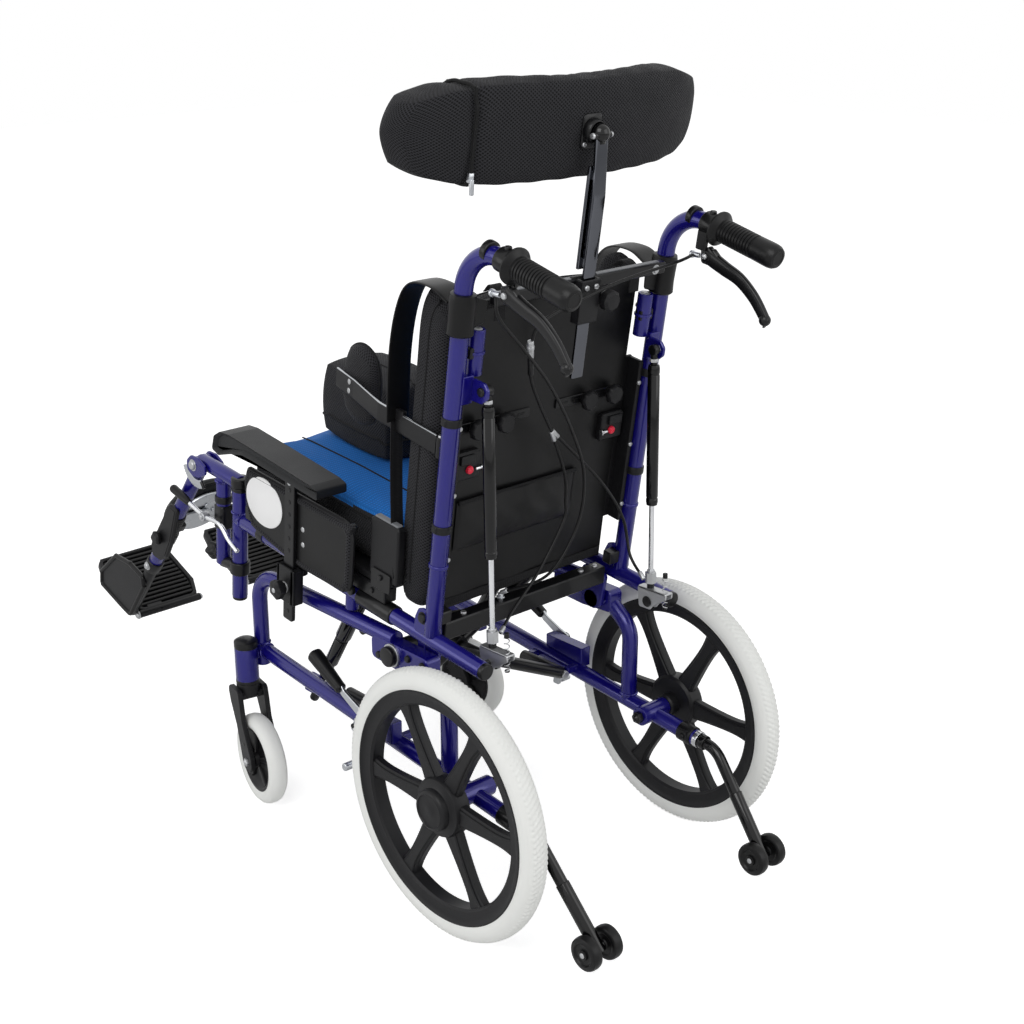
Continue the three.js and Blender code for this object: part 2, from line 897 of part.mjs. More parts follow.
// Wheel locks: a hand lever on each lower tube that swings a shoe against the tyre

function wheelLock() {
  const w = lockBarWidth / 2;
  const grip = at(0, -lockHandleReach, lockHandleRise);
  const gripStart = grip.clone().multiplyScalar(1 - lockGripLength / grip.length());
  const gripMiddle = gripStart.clone().lerp(grip, lockGripShare);
  const half = lockBarThickness / 2;
  const shoeX = [-half, tyreInnerX - lockPivotX + lockShoeLength];
  return joined([
    barX(around(0, lockBarThickness), 0, 0, lockBarWidth),
    bar(at(0, 0, 0), gripMiddle, lockBarThickness, 6),
    bar(gripStart, grip, lockGripDiameter, tubeSides, lockGripDiameter * thinShare),
    sidePlate([
      [-w, 0], [w, 0], [-lockShoeReach + w, -lockShoeDrop], [-lockShoeReach - w, -lockShoeDrop],
    ], around(0, lockBarThickness)),
    barX(shoeX, -lockShoeReach, -lockShoeDrop + w / 2, lockShoeDiameter),
  ]);
}

both('wheel_lock', wheelLock(), blackPaint, chair, at(lockPivotX, lockPivotY, lockPivotZ));

// Seat rails: on each side a long tube, a front tube square to it, and the brackets for what it carries

function roundTab(y, z, radius, footY, footZ) {
  const points = [[footY[0], footZ]];
  const steps = 6;
  for (let i = 0; i <= steps; i += 1) {
    const angle = Math.PI - (Math.PI * i) / steps;
    points.push([y + radius * Math.cos(angle), z + radius * Math.sin(angle)]);
  }
  points.push([footY[1], footZ]);
  return points;
}

const cheekGap = caneTongue / 2 + seatGap;

function seatRail() {
  const x = railX;
  const half = tubeDiameter / 2;
  const cheekFootY = around(reclineY, clevisWidth);
  const cheek = roundTab(reclineY, reclinePivot.z, barDiameter / 2, cheekFootY, railAboveTilt);
  const cheeks = [-1, 1].map((side) => {
    const near = caneX + side * cheekGap;
    return sidePlate(cheek, span(near, near + side * plateThickness));
  });
  const lugSpan = around(lugX, lugThickness);
  const lug = [
    [-lugWidth / 2, railAboveTilt + half / 2], [-barDiameter / 2, -barDiameter / 2],
    [barDiameter / 2, -barDiameter / 2], [lugWidth / 2, railAboveTilt + half / 2],
  ];
  const postFace = armPostX + armPostThickness / 2 + runningGap;
  const socketX = [x + half - plateThickness / 4, postFace + plateThickness];
  const socketZ = [armPanelFoot - runningGap - socketHeight, armPanelFoot - runningGap];
  const socket = slab(socketX, around(armPostY, socketLength), socketZ);
  const slot = slab(
    around(armPostX, armPostThickness + 2 * seatGap),
    around(armPostY, armPostWidth + 2 * seatGap),
    around(railAboveTilt, socketHeight * 2),
  );
  const knobZ = railAboveTilt - socketHeight / 2;
  const strutPlateX = [strutX + eyeThickness / 2 + seatGap, x];
  return joined([
    bar(at(x, frontTubeY, railAboveTilt), at(x, railRearY, railAboveTilt), tubeDiameter, roundSides),
    bar(at(x, frontTubeY, frontTubeFoot), at(x, frontTubeY, frontTubeTop), tubeDiameter, roundSides),
    sidePlate(lug, lugSpan),
    slab([lugX, x], around(0, lugWidth * thinShare), around(railAboveTilt, half)),
    ...cheeks,
    socket,
    barX([socketX[1] - overrun / 2, socketX[1] + knobDiameter / 2], armPostY, knobZ, knobDiameter),
    barX(strutPlateX, strutHeadY, railAboveTilt, eyeDiameter),
    barX([springPivotX + eyeThickness / 2 + seatGap, x], springPivotY, railAboveTilt, eyeDiameter),
  ], [
    slot,
    bore(at(x, frontTubeY, frontTubeTop - hangerPinLength - overrun),
      at(x, frontTubeY, frontTubeTop + overrun), hangerPinDiameter, runningGap),
  ]);
}

both('seat_rail', seatRail(), bluePaint, seat);

// Seat pan: a board on two side beams, with the black cross bar behind it

function seatPan() {
  const inner = lugX - lugThickness / 2 - seatGap;
  const tieWidth = rearBarDepth;
  const panTop = railAboveTilt + panTopAboveRail;
  const beamZ = [railTop + seatGap, panTop - panHeight / 2];
  const tieZ = [railAboveTilt, railAboveTilt + rearBarHeight / 2];
  const pieces = [
    slab([-panHalfWidth, panHalfWidth], [panFrontY, panRearY], [panTop - panHeight, panTop]),
    slab([-inner, inner], around(rearBarY, rearBarDepth), around(railAboveTilt, rearBarHeight)),
  ];
  for (const side of [-1, 1]) {
    const beamX = around(side * panBeamX, tubeDiameter);
    const tieX = span(side * inner, side * (inner - tieWidth));
    pieces.push(slab(beamX, [panFrontY, panRearY], beamZ));
    pieces.push(slab(tieX, [panRearY - tieWidth, rearBarY], tieZ));
    pieces.push(slab(tieX, [panRearY - tieWidth, panRearY], [railAboveTilt, panTop - panHeight / 2]));
  }
  return joined(pieces);
}

piece('seat_pan', seatPan(), blackPaint, seat);

// Seat cushion, crowned, with drawn in sides and ribs that run from front to back

const ribWave = (u, v, w) => (w > 0 ? cushionRib * Math.cos(cushionRibs * Math.PI * u) : 0);
const cushionFoot = railAboveTilt + panTopAboveRail + seatGap;
const cushionY = cushionRearY - cushionLength / 2;
piece(
  'seat_cushion',
  softBlock([cushionWidth, cushionLength, cushionHeight], [cushionRibs * 2, 4, 2], cushionDrawShare, ribWave),
  blueCloth,
  seat,
  at(0, cushionY, cushionFoot + cushionHeight / 2),
);
const pommelFoot = cushionFoot + cushionHeight + cushionRib + seatGap - pommelSettle;
piece(
  'pommel',
  softBlock([pommelWidth, pommelLength, pommelHeight], [4, 4, 4], pommelDrawShare),
  meshCloth,
  seat,
  at(0, pommelCentreY, pommelFoot + pommelHeight / 2),
);

// Tilt struts: a rod on the base frame that slides into a cylinder under the seat rail

const strutFoot = at(strutX, strutFootY, strutFootZ);
const strutHead = at(strutX, strutHeadY, railAboveTilt).applyEuler(seat.rotation).add(seat.position);
strutHead.x = strutX;
const strutSpan = strutHead.clone().sub(strutFoot);
const strutTurn = Math.atan2(-strutSpan.y, strutSpan.z);
const strutLength = Math.hypot(strutSpan.y, strutSpan.z);

function strutRod() {
  return joined([
    barX(around(0, eyeThickness), 0, 0, eyeDiameter),
    bar(at(0, 0, -strutTail), at(0, 0, strutLength - strutHeadRoom), strutRodDiameter, tubeSides),
  ]);
}

function strutCylinder() {
  return joined([
    barX(around(0, eyeThickness), 0, 0, eyeDiameter),
    bar(at(0, 0, -strutCylinderLength), at(0, 0, 0), strutCylinderDiameter, roundSides),
  ], [
    bore(at(0, 0, -strutCylinderLength - overrun), at(0, 0, -strutHeadRoom / 2), strutRodDiameter, seatGap),
    slab([eyeThickness / 2, strutCylinderDiameter], around(0, eyeDiameter * 2), around(0, eyeDiameter * 2)),
  ]);
}

both('tilt_rod', strutRod(), chrome, chair, strutFoot, [strutTurn, 0, 0]);
both('tilt_cylinder', strutCylinder(), blackPaint, chair, strutHead, [strutTurn, 0, 0]);

// Arm rests: a padded side panel on a flat post that slides in its socket, and a curved pad

function armFrame() {
  const panel = [];
  const length = armPanelRearY - armPanelFrontY;
  const height = armPanelTop - armPanelFoot;
  for (const [u, v] of armPanelShares) {
    panel.push([armPanelFrontY + u * length, armPanelFoot + v * height]);
  }
  const panelX = around(armPanelX, armPanelThickness);
  const disc = turnedX([[0, 0], [discLength / 2, 0], [discLength / 2, discThickness], [0, discThickness]],
    casterSides);
  disc.scale(1, 1, discHeight / discLength);
  const postTop = armPadFoot + (armPadTop - armPadFoot) * armPadUnderShare - seatGap;
  const discY = armPanelFrontY + length * discPlaceShare;
  const postY = around(armPostY, armPostWidth);
  disc.translate(panelX[1] - discThickness / 4, discY, armPanelFoot + height * discRiseShare);
  return joined([
    sidePlate(panel, panelX),
    slab(around(armPostX, armPostThickness), postY, [armPostFoot, postTop]),
    disc,
    slab([armPanelX, armPostX], postY, around(armPanelTop - height / 4, barDiameter)),
  ]);
}

const armPadFoot = armPadTop - armPadThickness - armPadCurl;
const armPadOutline = armPadShares.map(([u, v]) => [
  armPadFrontY + u * (armPadRearY - armPadFrontY),
  armPadFoot + v * (armPadTop - armPadFoot),
]);
both('arm_frame', armFrame(), meshCloth, seat);
const armPadX = [armPadInnerX, armPadInnerX + armPadWidth];
both('arm_pad', closed(sidePlate(armPadOutline, armPadX)), padSkin, seat);

// Leg rests: a hanger that hooks into the front tube of the seat and swings aside

function legHanger() {
  const topZ = frontTubeTop + seatGap + tubeDiameter / 2;
  const half = tubeDiameter / 2;
  const pivot = at(0, legPivotY - frontTubeY, legPivotAbove);
  const tubeY = hangerTubeY - frontTubeY;
  const footZ = [hangerFoot, hangerFoot + barDiameter];
  const clampDiameter = boreFor(tubeDiameter, plateThickness);
  const clamp = bar(at(0, 0, footZ[0]), at(0, 0, footZ[1]), clampDiameter, roundSides);
  const cheekX = legTongue / 2 + seatGap;
  const cheeks = [-1, 1].map((side) => {
    const x = span(side * cheekX, side * (cheekX + plateThickness));
    return sidePlate([
      [pivot.y - barDiameter / 2, pivot.z + barDiameter / 2],
      [pivot.y - barDiameter / 2, pivot.z - barDiameter / 2],
      [pivot.y + barDiameter, topZ - half], [pivot.y + barDiameter * cheekNoseShare, topZ + half / 2],
      [pivot.y + barDiameter, topZ + half],
    ], x);
  });
  const leverBoss = leverX - railX - leverRodDiameter / 2 - seatGap;
  return joined([
    bar(at(0, half, topZ), at(0, pivot.y + barDiameter, topZ), tubeDiameter, roundSides),
    bar(at(0, 0, frontTubeTop + seatGap), at(0, 0, topZ), tubeDiameter, roundSides),
    bar(at(0, 0, frontTubeTop - hangerPinLength), at(0, 0, topZ), hangerPinDiameter, tubeSides),
    bar(at(0, tubeY, footZ[0]), at(0, tubeY, topZ), tubeDiameter, roundSides),
    clamp,
    slab(around(0, half), [tubeY, -half], footZ),
    slab([0, leverBoss], around(leverPivotY - frontTubeY, half), around(leverPivotAbove, half)),
    slab(around(0, half), [leverPivotY - frontTubeY - half / 2, tubeY], around(leverPivotAbove, half)),
    ...cheeks,
    barX([cheekX, cheekX + 2 * plateThickness], pivot.y, pivot.z, boltDiameter * boltHeadShare, 6),
  ], [
    bore(at(0, 0, hangerFoot - overrun), at(0, 0, hangerFoot + barDiameter + overrun), tubeDiameter, seatGap),
  ]);
}

both('leg_hanger', legHanger(), bluePaint, seat, at(railX, frontTubeY, 0));

// Leg tubes, drawn along their own line: -z runs down the tube and -y looks ahead of it

const legLean = -legAngle * degree;
const leg = new THREE.Group();
const legGroups = [leg, new THREE.Group()];
for (const group of legGroups) {
  group.rotation.x = legLean + seatPitch * degree;
  seat.add(group);
}
leg.position.set(railX, legPivotY, legPivotAbove);
legGroups[1].position.set(-railX, legPivotY, legPivotAbove);

function bothLegs(name, geometry, material, place, turn = [0, 0, 0]) {
  piece(`${name}_left`, geometry, material, leg, place, turn);
  const across = at(-place.x, place.y, place.z);
  piece(`${name}_right`, mirrored(geometry), material, legGroups[1], across, turn);
}

const hingeX = -(legTubeClear + footplateThickness / 2);
const plateTurn = (legAngle - footplatePitch) * degree;

function legTube() {
  const foot = -footplateDrop;
  const flap = flapShares.map(([u, v]) => [-u * footplateDepth * thinShare, foot + v * flapHeight]);
  const flapX = tubeDiameter / 2 + plateThickness;
  const innerDiameter = tubeDiameter * legInnerShare;
  const hingeBlockX = [hingeX + seatGap + footplateThickness / 2, 0];
  return joined([
    barX(around(0, legTongue), 0, 0, barDiameter),
    bar(at(0, 0, 0), at(0, 0, -barDiameter), legTongue, tubeSides),
    bar(at(0, 0, -barDiameter * thinShare), at(0, 0, -legInnerStart), tubeDiameter, roundSides),
    bar(at(0, 0, -legSleeveStart), at(0, 0, -legSleeveEnd), tubeDiameter + plateThickness, roundSides),
    bar(at(0, 0, -legInnerStart + overrun), at(0, 0, foot - barDiameter / 2), innerDiameter, roundSides),
    sidePlate(flap, [tubeDiameter / 4, flapX]),
    slab(hingeBlockX, around(0, tubeDiameter / 2), around(foot, tubeDiameter / 2)),
  ]);
}

function footplate() {
  const width = footplateWidth;
  const depth = footplateDepth;
  const pieces = [
    slab([-width, 0], [-depth, 0], around(0, footplateThickness)),
    bar(at(0, -depth, 0), at(0, 0, 0), footplateThickness, roundSides),
  ];
  for (let i = 0; i < footplateRibs; i += 1) {
    const y = -(depth * (i + 0.5)) / footplateRibs;
    const ribX = [-width * (1 - 1 / footplateRibs / 2), -footplateThickness];
    pieces.push(slab(ribX, around(y, depth / footplateRibs / 2), [0, footplateThickness / 2 + footplateRib]));
  }
  return joined(pieces);
}

bothLegs('leg_tube', legTube(), bluePaint, at(0, 0, 0));
const footplateAt = at(hingeX, footplateHeel, -footplateDrop);
bothLegs('footplate', footplate(), rubber, footplateAt, [plateTurn, 0, 0]);

// Calf pads: a round cushion on a back plate, carried by a clamp round the leg tube

function calfPad() {
  const sleeve = tubeDiameter + plateThickness;
  const clampDiameter = boreFor(sleeve, seatGap);
  const ringDiameter = clampDiameter + 2 * plateThickness;
  const ring = bar(at(0, 0, -barDiameter / 2), at(0, 0, barDiameter / 2), ringDiameter, roundSides);
  const pad = softBlock([calfPadDiameter, calfPadDiameter, calfPadThickness], [4, 4, 1], calfDrawShare);
  pad.rotateX(Math.PI / 2);
  const padY = -calfPadAhead - plateThickness - calfPadThickness / 2 - tubeDiameter / 2;
  pad.translate(calfPadX - railX, padY, 0);
  const backY = padY + calfPadThickness / 2;
  const plateX = around(calfPadX - railX, calfPadDiameter / 2);
  return joined([
    ring,
    pad,
    slab(plateX, [backY - plateThickness, backY + plateThickness], around(0, calfPadDiameter / 2)),
    slab([calfPadX - railX, -clampDiameter / 4], [-ringDiameter / 2, -ringDiameter / 2 + plateThickness],
      around(0, barDiameter)),
    slab([calfPadX - railX, plateX[1]], [backY, -ringDiameter / 2 + plateThickness], around(0, barDiameter)),
  ], [
    bore(at(0, 0, -barDiameter), at(0, 0, barDiameter), sleeve, seatGap),
  ]);
}

bothLegs('calf_pad', calfPad(), meshCloth, at(0, 0, -calfPadDown));

// Leg levers: a thin rod with a grip that frees the ratchet of each leg rest

function legLever() {
  const front = at(0, -leverForward, leverRise);
  const middle = at(0, -leverForward * leverBendShare, leverRise * thinShare);
  const rear = at(0, leverBack, -leverDropBehind);
  return joined([
    tube([rear, at(0, 0, 0), middle, front], leverRodDiameter, barDiameter),
    bar(middle, front, leverGripDiameter, tubeSides),
  ]);
}

both('leg_lever', legLever(), chrome, seat, at(leverX, leverPivotY, leverPivotAbove));

// Canes: each back tube, its push handle bend, the side socket and the gas spring bracket

const caneFoot = at(caneX, caneBack, barDiameter * caneFootShare);
const caneEnd = at(caneX, caneEndBack, caneEndUp);
const caneCorner = at(caneX, caneBack, caneCornerUp);
const gripDirection = caneEnd.clone().sub(caneCorner).normalize();
const gripStart = caneEnd.clone().addScaledVector(gripDirection, plateThickness - gripLength);

function cane() {
  const half = tubeDiameter / 2;
  const clampStart = gripStart.clone().addScaledVector(gripDirection, -grabClampLength - seatGap);
  const clampEnd = gripStart.clone().addScaledVector(gripDirection, -seatGap);
  const eyeX = springPivotX + eyeThickness / 2 + seatGap;
  const leverFace = brakeX + leverBladeThickness / 2;
  const leverLugX = [leverFace + seatGap, leverFace + plateThickness];
  const leverLugZ = [brakeUp - barDiameter / 2, clampEnd.z];
  const webs = [sideSocketFoot, sideSocketTop - half].map((up) => (
    slab([sideSocketX, caneX], around(caneBack, half), [up, up + half])
  ));
  const socketFoot = at(sideSocketX, caneBack, sideSocketFoot);
  const tabFootY = [caneBack - half / 2, caneBack + half];
  const tabFootZ = springEyeUp - barDiameter;
  const springTab = roundTab(springEyeBack, springEyeUp, barDiameter / 2, tabFootY, tabFootZ);
  return joined([
    barX(around(caneX, caneTongue), 0, 0, barDiameter),
    slab(around(caneX, caneTongue), [-half / 2, caneBack + half / 2], [0, barDiameter]),
    tube([caneFoot, caneCorner, caneEnd], tubeDiameter, caneBend, roundSides),
    bar(socketFoot, socketFoot.clone().setZ(sideSocketTop), tubeDiameter, roundSides),
    ...webs,
    sidePlate(springTab, [eyeX, eyeX + plateThickness]),
    slab([eyeX, caneX], around(caneBack, half), [springEyeUp - barDiameter, springEyeUp - half]),
    bar(at(caneX, caneBack, clothSleeveFoot + half), at(caneX, caneBack, clothSleeveTop + half),
      clothSleeveDiameter, roundSides),
    bar(clampStart, clampEnd, gripDiameter, roundSides),
    slab(leverLugX, [brakeBack - barDiameter / 2, gripStart.y - plateThickness], leverLugZ),
  ]);
}

both('cane', cane(), bluePaint, back);

// Grips, grooved, on the rear ends of the canes

function turnedAlong(profile, segments, start, direction) {
  const geometry = new THREE.LatheGeometry(profile.map(([r, x]) => new THREE.Vector2(r, x)), segments);
  geometry.applyQuaternion(new THREE.Quaternion().setFromUnitVectors(at(0, 1, 0), direction));
  geometry.translate(start.x, start.y, start.z);
  return closed(geometry);
}

function grip() {
  const bore = boreFor(tubeDiameter, seatGap) / 2;
  const outer = gripDiameter / 2;
  const flange = gripFlange / 2;
  const lip = plateThickness;
  const profile = [[bore, 0], [flange, 0], [flange, lip], [outer, lip]];
  const first = lip + grabClampLength / 2;
  const step = (gripLength - first - grabClampLength / 2) / gripGrooves;
  const [crestShare, grooveShare] = gripGrooveShares;
  for (let i = 0; i < gripGrooves; i += 1) {
    profile.push([outer, first + step * (i + crestShare)]);
    profile.push([outer - gripGrooveDepth, first + step * (i + grooveShare)]);
  }
  profile.push([outer, gripLength - lip], [outer - lip, gripLength + lip]);
  profile.push([0, gripLength + lip], [0, gripLength], [bore, gripLength], [bore, 0]);
  return turnedAlong(profile, roundSides, gripStart, gripDirection);
}

both('grip', grip(), rubber, back);

// Hand levers under the grips

function handLever() {
  const knee = at(0, leverBladeLength * kneeShare, -leverBladeDrop * kneeDropShare);
  const tip = at(0, Math.sqrt(leverBladeLength ** 2 - leverBladeDrop ** 2), -leverBladeDrop);
  return joined([
    barX(around(0, leverBladeThickness), 0, 0, leverBladeWidth * leverBossShare),
    tube([at(0, 0, 0), knee, tip], leverBladeThickness, leverBladeLength / 2, tubeSides),
    bar(tip.clone().lerp(knee, leverEndShare), tip, leverBladeWidth, tubeSides),
  ]);
}

both('hand_lever', handLever(), blackPaint, back, at(brakeX, brakeBack, brakeUp));

// Back panel with its side rolls, slot plates, knobs, side blocks, lateral brackets and pocket

function backPanel() {
  const rear = panelFace;
  const front = panelFace - panelThickness;
  const caneInner = caneX - tubeDiameter / 2 - seatGap;
  const knobEndY = rear + knobDiameter / 2 + plateThickness * 2;
  const skin = (depth) => [rear - panelThickness / 2, rear + depth];
  const sideZ = [panelSideFoot, panelSideTop];
  const pieces = [
    slab([-panelHalfWidth, panelHalfWidth], [front, rear], [panelFoot, panelTop]),
    slab([-pocketWidth * pocketLeftShare, pocketWidth * (1 - pocketLeftShare)], skin(plateThickness),
      [pocketFoot, pocketFoot + pocketHeight]),
  ];
  for (const side of [-1, 1]) {
    const across = (inner, outer) => span(side * inner, side * outer);
    const block = [sideBlockX - sideBlockWidth / 2, sideBlockX + sideBlockWidth / 2 - plateThickness];
    const plate = [slotPlateX - slotPlateWidth / 2, slotPlateX + slotPlateWidth / 2];
    const wing = across(panelHalfWidth - tubeDiameter, caneInner);
    const edge = across(caneInner - plateThickness * 2, caneInner);
    pieces.push(slab(wing, [front, rear], sideZ));
    pieces.push(slab(edge, [front, caneBack], sideZ));
    pieces.push(slab(across(...block), skin(plateThickness * 3), around(sideBlockUp, sideBlockHeight)));
    pieces.push(slab(across(...plate), skin(plateThickness), around(slotPlateUp, slotPlateHeight)));
    for (const x of [slotPlateX - plateThickness * 2, slotPlateX + slotPlateWidth / 3]) {
      const start = at(side * x, rear, slotPlateUp);
      const end = at(side * x, knobEndY, slotPlateUp);
      pieces.push(bar(start, end, knobDiameter * pegShare, tubeSides));
    }
    const bracketX = across(block[0], lateralHingeX - lateralHinge / 2 - seatGap);
    pieces.push(slab(bracketX, skin(lateralHinge / 2), around(lateralUp, lateralArmHeight)));
  }
  return joined(pieces);
}

piece('back_panel', backPanel(), blackPlastic, back);
const backCushionHeight = backCushionTop - backCushionFoot;
const backCushionY = panelFace - panelThickness - seatGap - backCushionThickness / 2;
piece(
  'back_cushion',
  softBlock([backCushionWidth, backCushionThickness, backCushionHeight], [6, 2, 8], backCushionDrawShare),
  meshCloth,
  back,
  at(0, backCushionY, backCushionFoot + backCushionHeight / 2),
);

// Laterals: oval side pads on arms that hinge beside the back cushion

function lateral() {
  const pad = softBlock([lateralThickness, lateralLength, lateralHeight], [2, 4, 4], lateralDrawShare);
  pad.translate(lateralX - lateralHingeX, lateralBack - lateralHingeBack, 0);
  const armX = around(0, lateralHinge / 2);
  const armY = [lateralBack - lateralHingeBack, 0];
  return joined([
    bar(at(0, 0, -lateralArmHeight / 2), at(0, 0, lateralArmHeight / 2), lateralHinge, tubeSides),
    slab(armX, armY, around(0, lateralArmHeight)),
    slab([lateralX - lateralHingeX, 0], [armY[0], armY[0] + lateralArmHeight], around(0, lateralArmHeight)),
    pad,
  ]);
}

both('lateral', lateral(), meshCloth, back, at(lateralHingeX, lateralHingeBack, lateralUp));

// Headrest: a cross bar in the side sockets, a flat stem that slides in it and a wrapped pad

function headCarrier() {
  const barZ = [crossBarUp, crossBarUp + crossBarHeight];
  const barY = around(crossBarBack, crossBarDepth);
  const wall = plateThickness + stemBarThickness / 2 + seatGap;
  const socketZ = [barZ[1] - carrierSocketHeight, barZ[1]];
  const knobZ = barZ[0] - knobDiameter / 2;
  const knobEndY = stemBack + knobDiameter / 2;
  const pieces = [
    slab([-sideSocketX, sideSocketX], barY, barZ),
    slab(around(0, stemBarWidth + 2 * wall), around(stemBack, 2 * wall), socketZ),
    bar(at(-knobDiameter, crossBarBack, knobZ), at(-knobDiameter, knobEndY, knobZ), knobDiameter, roundSides),
  ];
  for (const side of [-1, 1]) {
    const x = side * sideSocketX;
    const peg = barDiameter * pegShare;
    pieces.push(bar(at(x, caneBack, sideSocketTop + seatGap), at(x, caneBack, barZ[1]), peg, roundSides));
    pieces.push(slab(around(x, peg), [caneBack, barY[1]], barZ));
  }
  return joined(pieces, [
    slab(around(0, stemBarWidth + 2 * seatGap), around(stemBack, stemBarThickness + 2 * seatGap),
      [barZ[1] - carrierSocketHeight - overrun, barZ[1] + overrun]),
  ]);
}

piece('head_carrier', headCarrier(), blackPaint, back);
const headBall = at(0, headBack + headBallDiameter / 2 + seatGap, headCentreUp);

function headStem() {
  return joined([
    slab(around(0, stemBarWidth), around(stemBack, stemBarThickness), [stemFoot, stemBendUp]),
    bar(at(0, stemBack, stemBendUp - stemBarThickness), headBall, stemBarThickness * 2, tubeSides),
    new THREE.SphereGeometry(headBallDiameter / 2, tubeSides, tubeSides - 2).rotateX(Math.PI / 2)
      .translate(headBall.x, headBall.y, headBall.z),
  ]);
}

piece('headrest_stem', headStem(), chrome, back);
const headPad = softBlock([headWidth, headThickness, headHeight], [12, 3, 3], headDrawShare);
const headPoints = headPad.attributes.position;
for (let i = 0; i < headPoints.count; i += 1) {
  const share = headPoints.getX(i) / (headWidth / 2);
  headPoints.setY(i, headPoints.getY(i) - headWrap * share * share);
}
piece('headrest_pad', headPad, meshCloth, back, at(0, headBack - headThickness / 2, headCentreUp));

// Gas springs: a rod that swings on each seat rail and a cylinder that hangs on each cane

const gasFoot = at(springPivotX, springPivotY, railAboveTilt);
const gasHead = at(springPivotX, springEyeBack, springEyeUp).applyEuler(back.rotation).add(back.position);
const gasTurn = Math.atan2(gasFoot.y - gasHead.y, gasHead.z - gasFoot.z);
const gasSpan = Math.hypot(gasFoot.y - gasHead.y, gasHead.z - gasFoot.z);
const gasMouth = gasSpan - gasCylinderTop - gasCylinderLength;

function releaseSpring(y, low, high) {
  const stations = [at(0, y, low), at(0, y, low + releaseWire * 2)];
  const turns = releaseCurls * curlSteps;
  const start = low + releaseWire * 4;
  const height = high - releaseWire * 4 - start;
  const radius = releaseSpringDiameter / 2;
  for (let i = 0; i <= turns; i += 1) {
    const angle = (2 * Math.PI * i) / curlSteps;
    stations.push(at(radius * Math.cos(angle), y + radius * Math.sin(angle), start + (height * i) / turns));
  }
  stations.push(at(0, y, high - releaseWire * 2), at(0, y, high));
  return stations;
}

class Route extends THREE.Curve {
  constructor(stations) {
    super();
    this.stations = stations;
  }

  getPoint(share) {
    return this.stations[Math.round(share * (this.stations.length - 1))].clone();
  }

  getPointAt(share) {
    return this.getPoint(share);
  }

  getTangentAt(share) {
    const i = Math.round(share * (this.stations.length - 1));
    const before = this.stations[Math.max(0, i - 1)];
    const after = this.stations[Math.min(this.stations.length - 1, i + 1)];
    return after.clone().sub(before).normalize();
  }
}

function routed(stations, diameter, sides) {
  return new THREE.ExtrudeGeometry(ring(diameter, sides), {
    steps: stations.length - 1,
    extrudePath: new Route(stations),
  });
}

// The least distance between curls, from points a curl or more apart, less the wire

function leastGap(stations, wire, apart) {
  let least = Infinity;
  for (let i = 0; i < stations.length; i += 1) {
    for (let j = i + apart; j < stations.length; j += 1) {
      least = Math.min(least, stations[i].distanceTo(stations[j]));
    }
  }
  return least - wire;
}

function gasRod() {
  const sheet = gasBracketThickness;
  const innerX = -eyeThickness / 2;
  const tabY = [0, releaseReach];
  const springY = releaseReach - releaseSpringDiameter / 2;
  const low = -barDiameter / 3;
  const nutZ = around(gasNutRise, gasRodDiameter);
  const spring = releaseSpring(springY, low - sheet / 2, releaseRise + sheet / 2);
  const gap = leastGap(spring, releaseWire, curlSteps - 1);
  console.log(`least gap between the curls of a release spring: ${gap.toFixed(2)} mm`);
  return joined([
    barX(around(0, eyeThickness), 0, 0, eyeDiameter),
    bar(at(0, 0, 0), at(0, 0, gasMouth + gasInsert), gasRodDiameter, tubeSides),
    slab([innerX - sheet, innerX], around(0, gasBracketDepth), [-eyeDiameter / 2, gasBracketRise + sheet]),
    slab([innerX - sheet, -innerX], around(0, gasBracketDepth), [gasBracketRise, gasBracketRise + sheet]),
    slab([innerX - sheet, innerX + sheet], around(0, barDiameter), around(0, barDiameter / 2)),
    bar(at(0, 0, nutZ[0]), at(0, 0, nutZ[1]), gasNutDiameter, 6),
    slab(around(0, gasRodDiameter), tabY, [releaseRise, releaseRise + sheet]),
    slab([innerX - sheet, gasRodDiameter / 2], tabY, [low - sheet, low]),
    routed(spring, releaseWire, curlSides),
  ]);
}

function gasCylinder() {
  const foot = -gasCylinderTop - gasCylinderLength;
  return joined([
    barX(around(0, eyeThickness), 0, 0, eyeDiameter * thinShare),
    bar(at(0, 0, -gasCylinderTop - overrun), at(0, 0, 0), gasCylinderDiameter / 2, tubeSides),
    bar(at(0, 0, foot), at(0, 0, -gasCylinderTop), gasCylinderDiameter, roundSides),
  ], [
    bore(at(0, 0, foot - overrun), at(0, 0, foot + gasInsert + gasStroke), gasRodDiameter, seatGap),
  ]);
}

both('gas_rod', gasRod(), zinc, seat, gasFoot, [gasTurn, 0, 0]);
both('gas_cylinder', gasCylinder(), blackPaint, seat, gasHead, [gasTurn, 0, 0]);

// Cables: chosen points of each route behind the back panel, as [x, back, up] in the back's own frame

const brakeEndY = brakeBack - barDiameter / 2;
const cableAnchorX = brakeX + (leverBladeThickness + plateThickness) / 2;
const leadRight = [
  [-188, 66, 502], [-145, 70, 497], [-46, 64, 483], [58, 62, 460], [98, 60, 442], [104, 55, 413],
];
const leadJoint = [[104, 55, 413], [88, 46, 362], [60, 40, 316], [27, 36, 268]];
const leadLeft = [
  [27, 36, 268], [-14, 34, 190], [-24, 34, 143], [-20, 38, 112], [29, 50, 52], [100, 74, 16],
];
const leadAcross = [[27, 36, 268], [-92, 34, 159], [-150, 38, 84], [-152, 62, 30]];
const leadTilt = [
  [188, 66, 498], [184, 74, 470], [137, 76, 421], [72, 68, 355],
  [7, 58, 270], [-36, 52, 189], [-34, 54, 111], [12, 52, 40],
];

function route(points) {
  return points.map(([x, y, z]) => at(x, y, z));
}

// A smooth curve through the points, in steps of several diameters

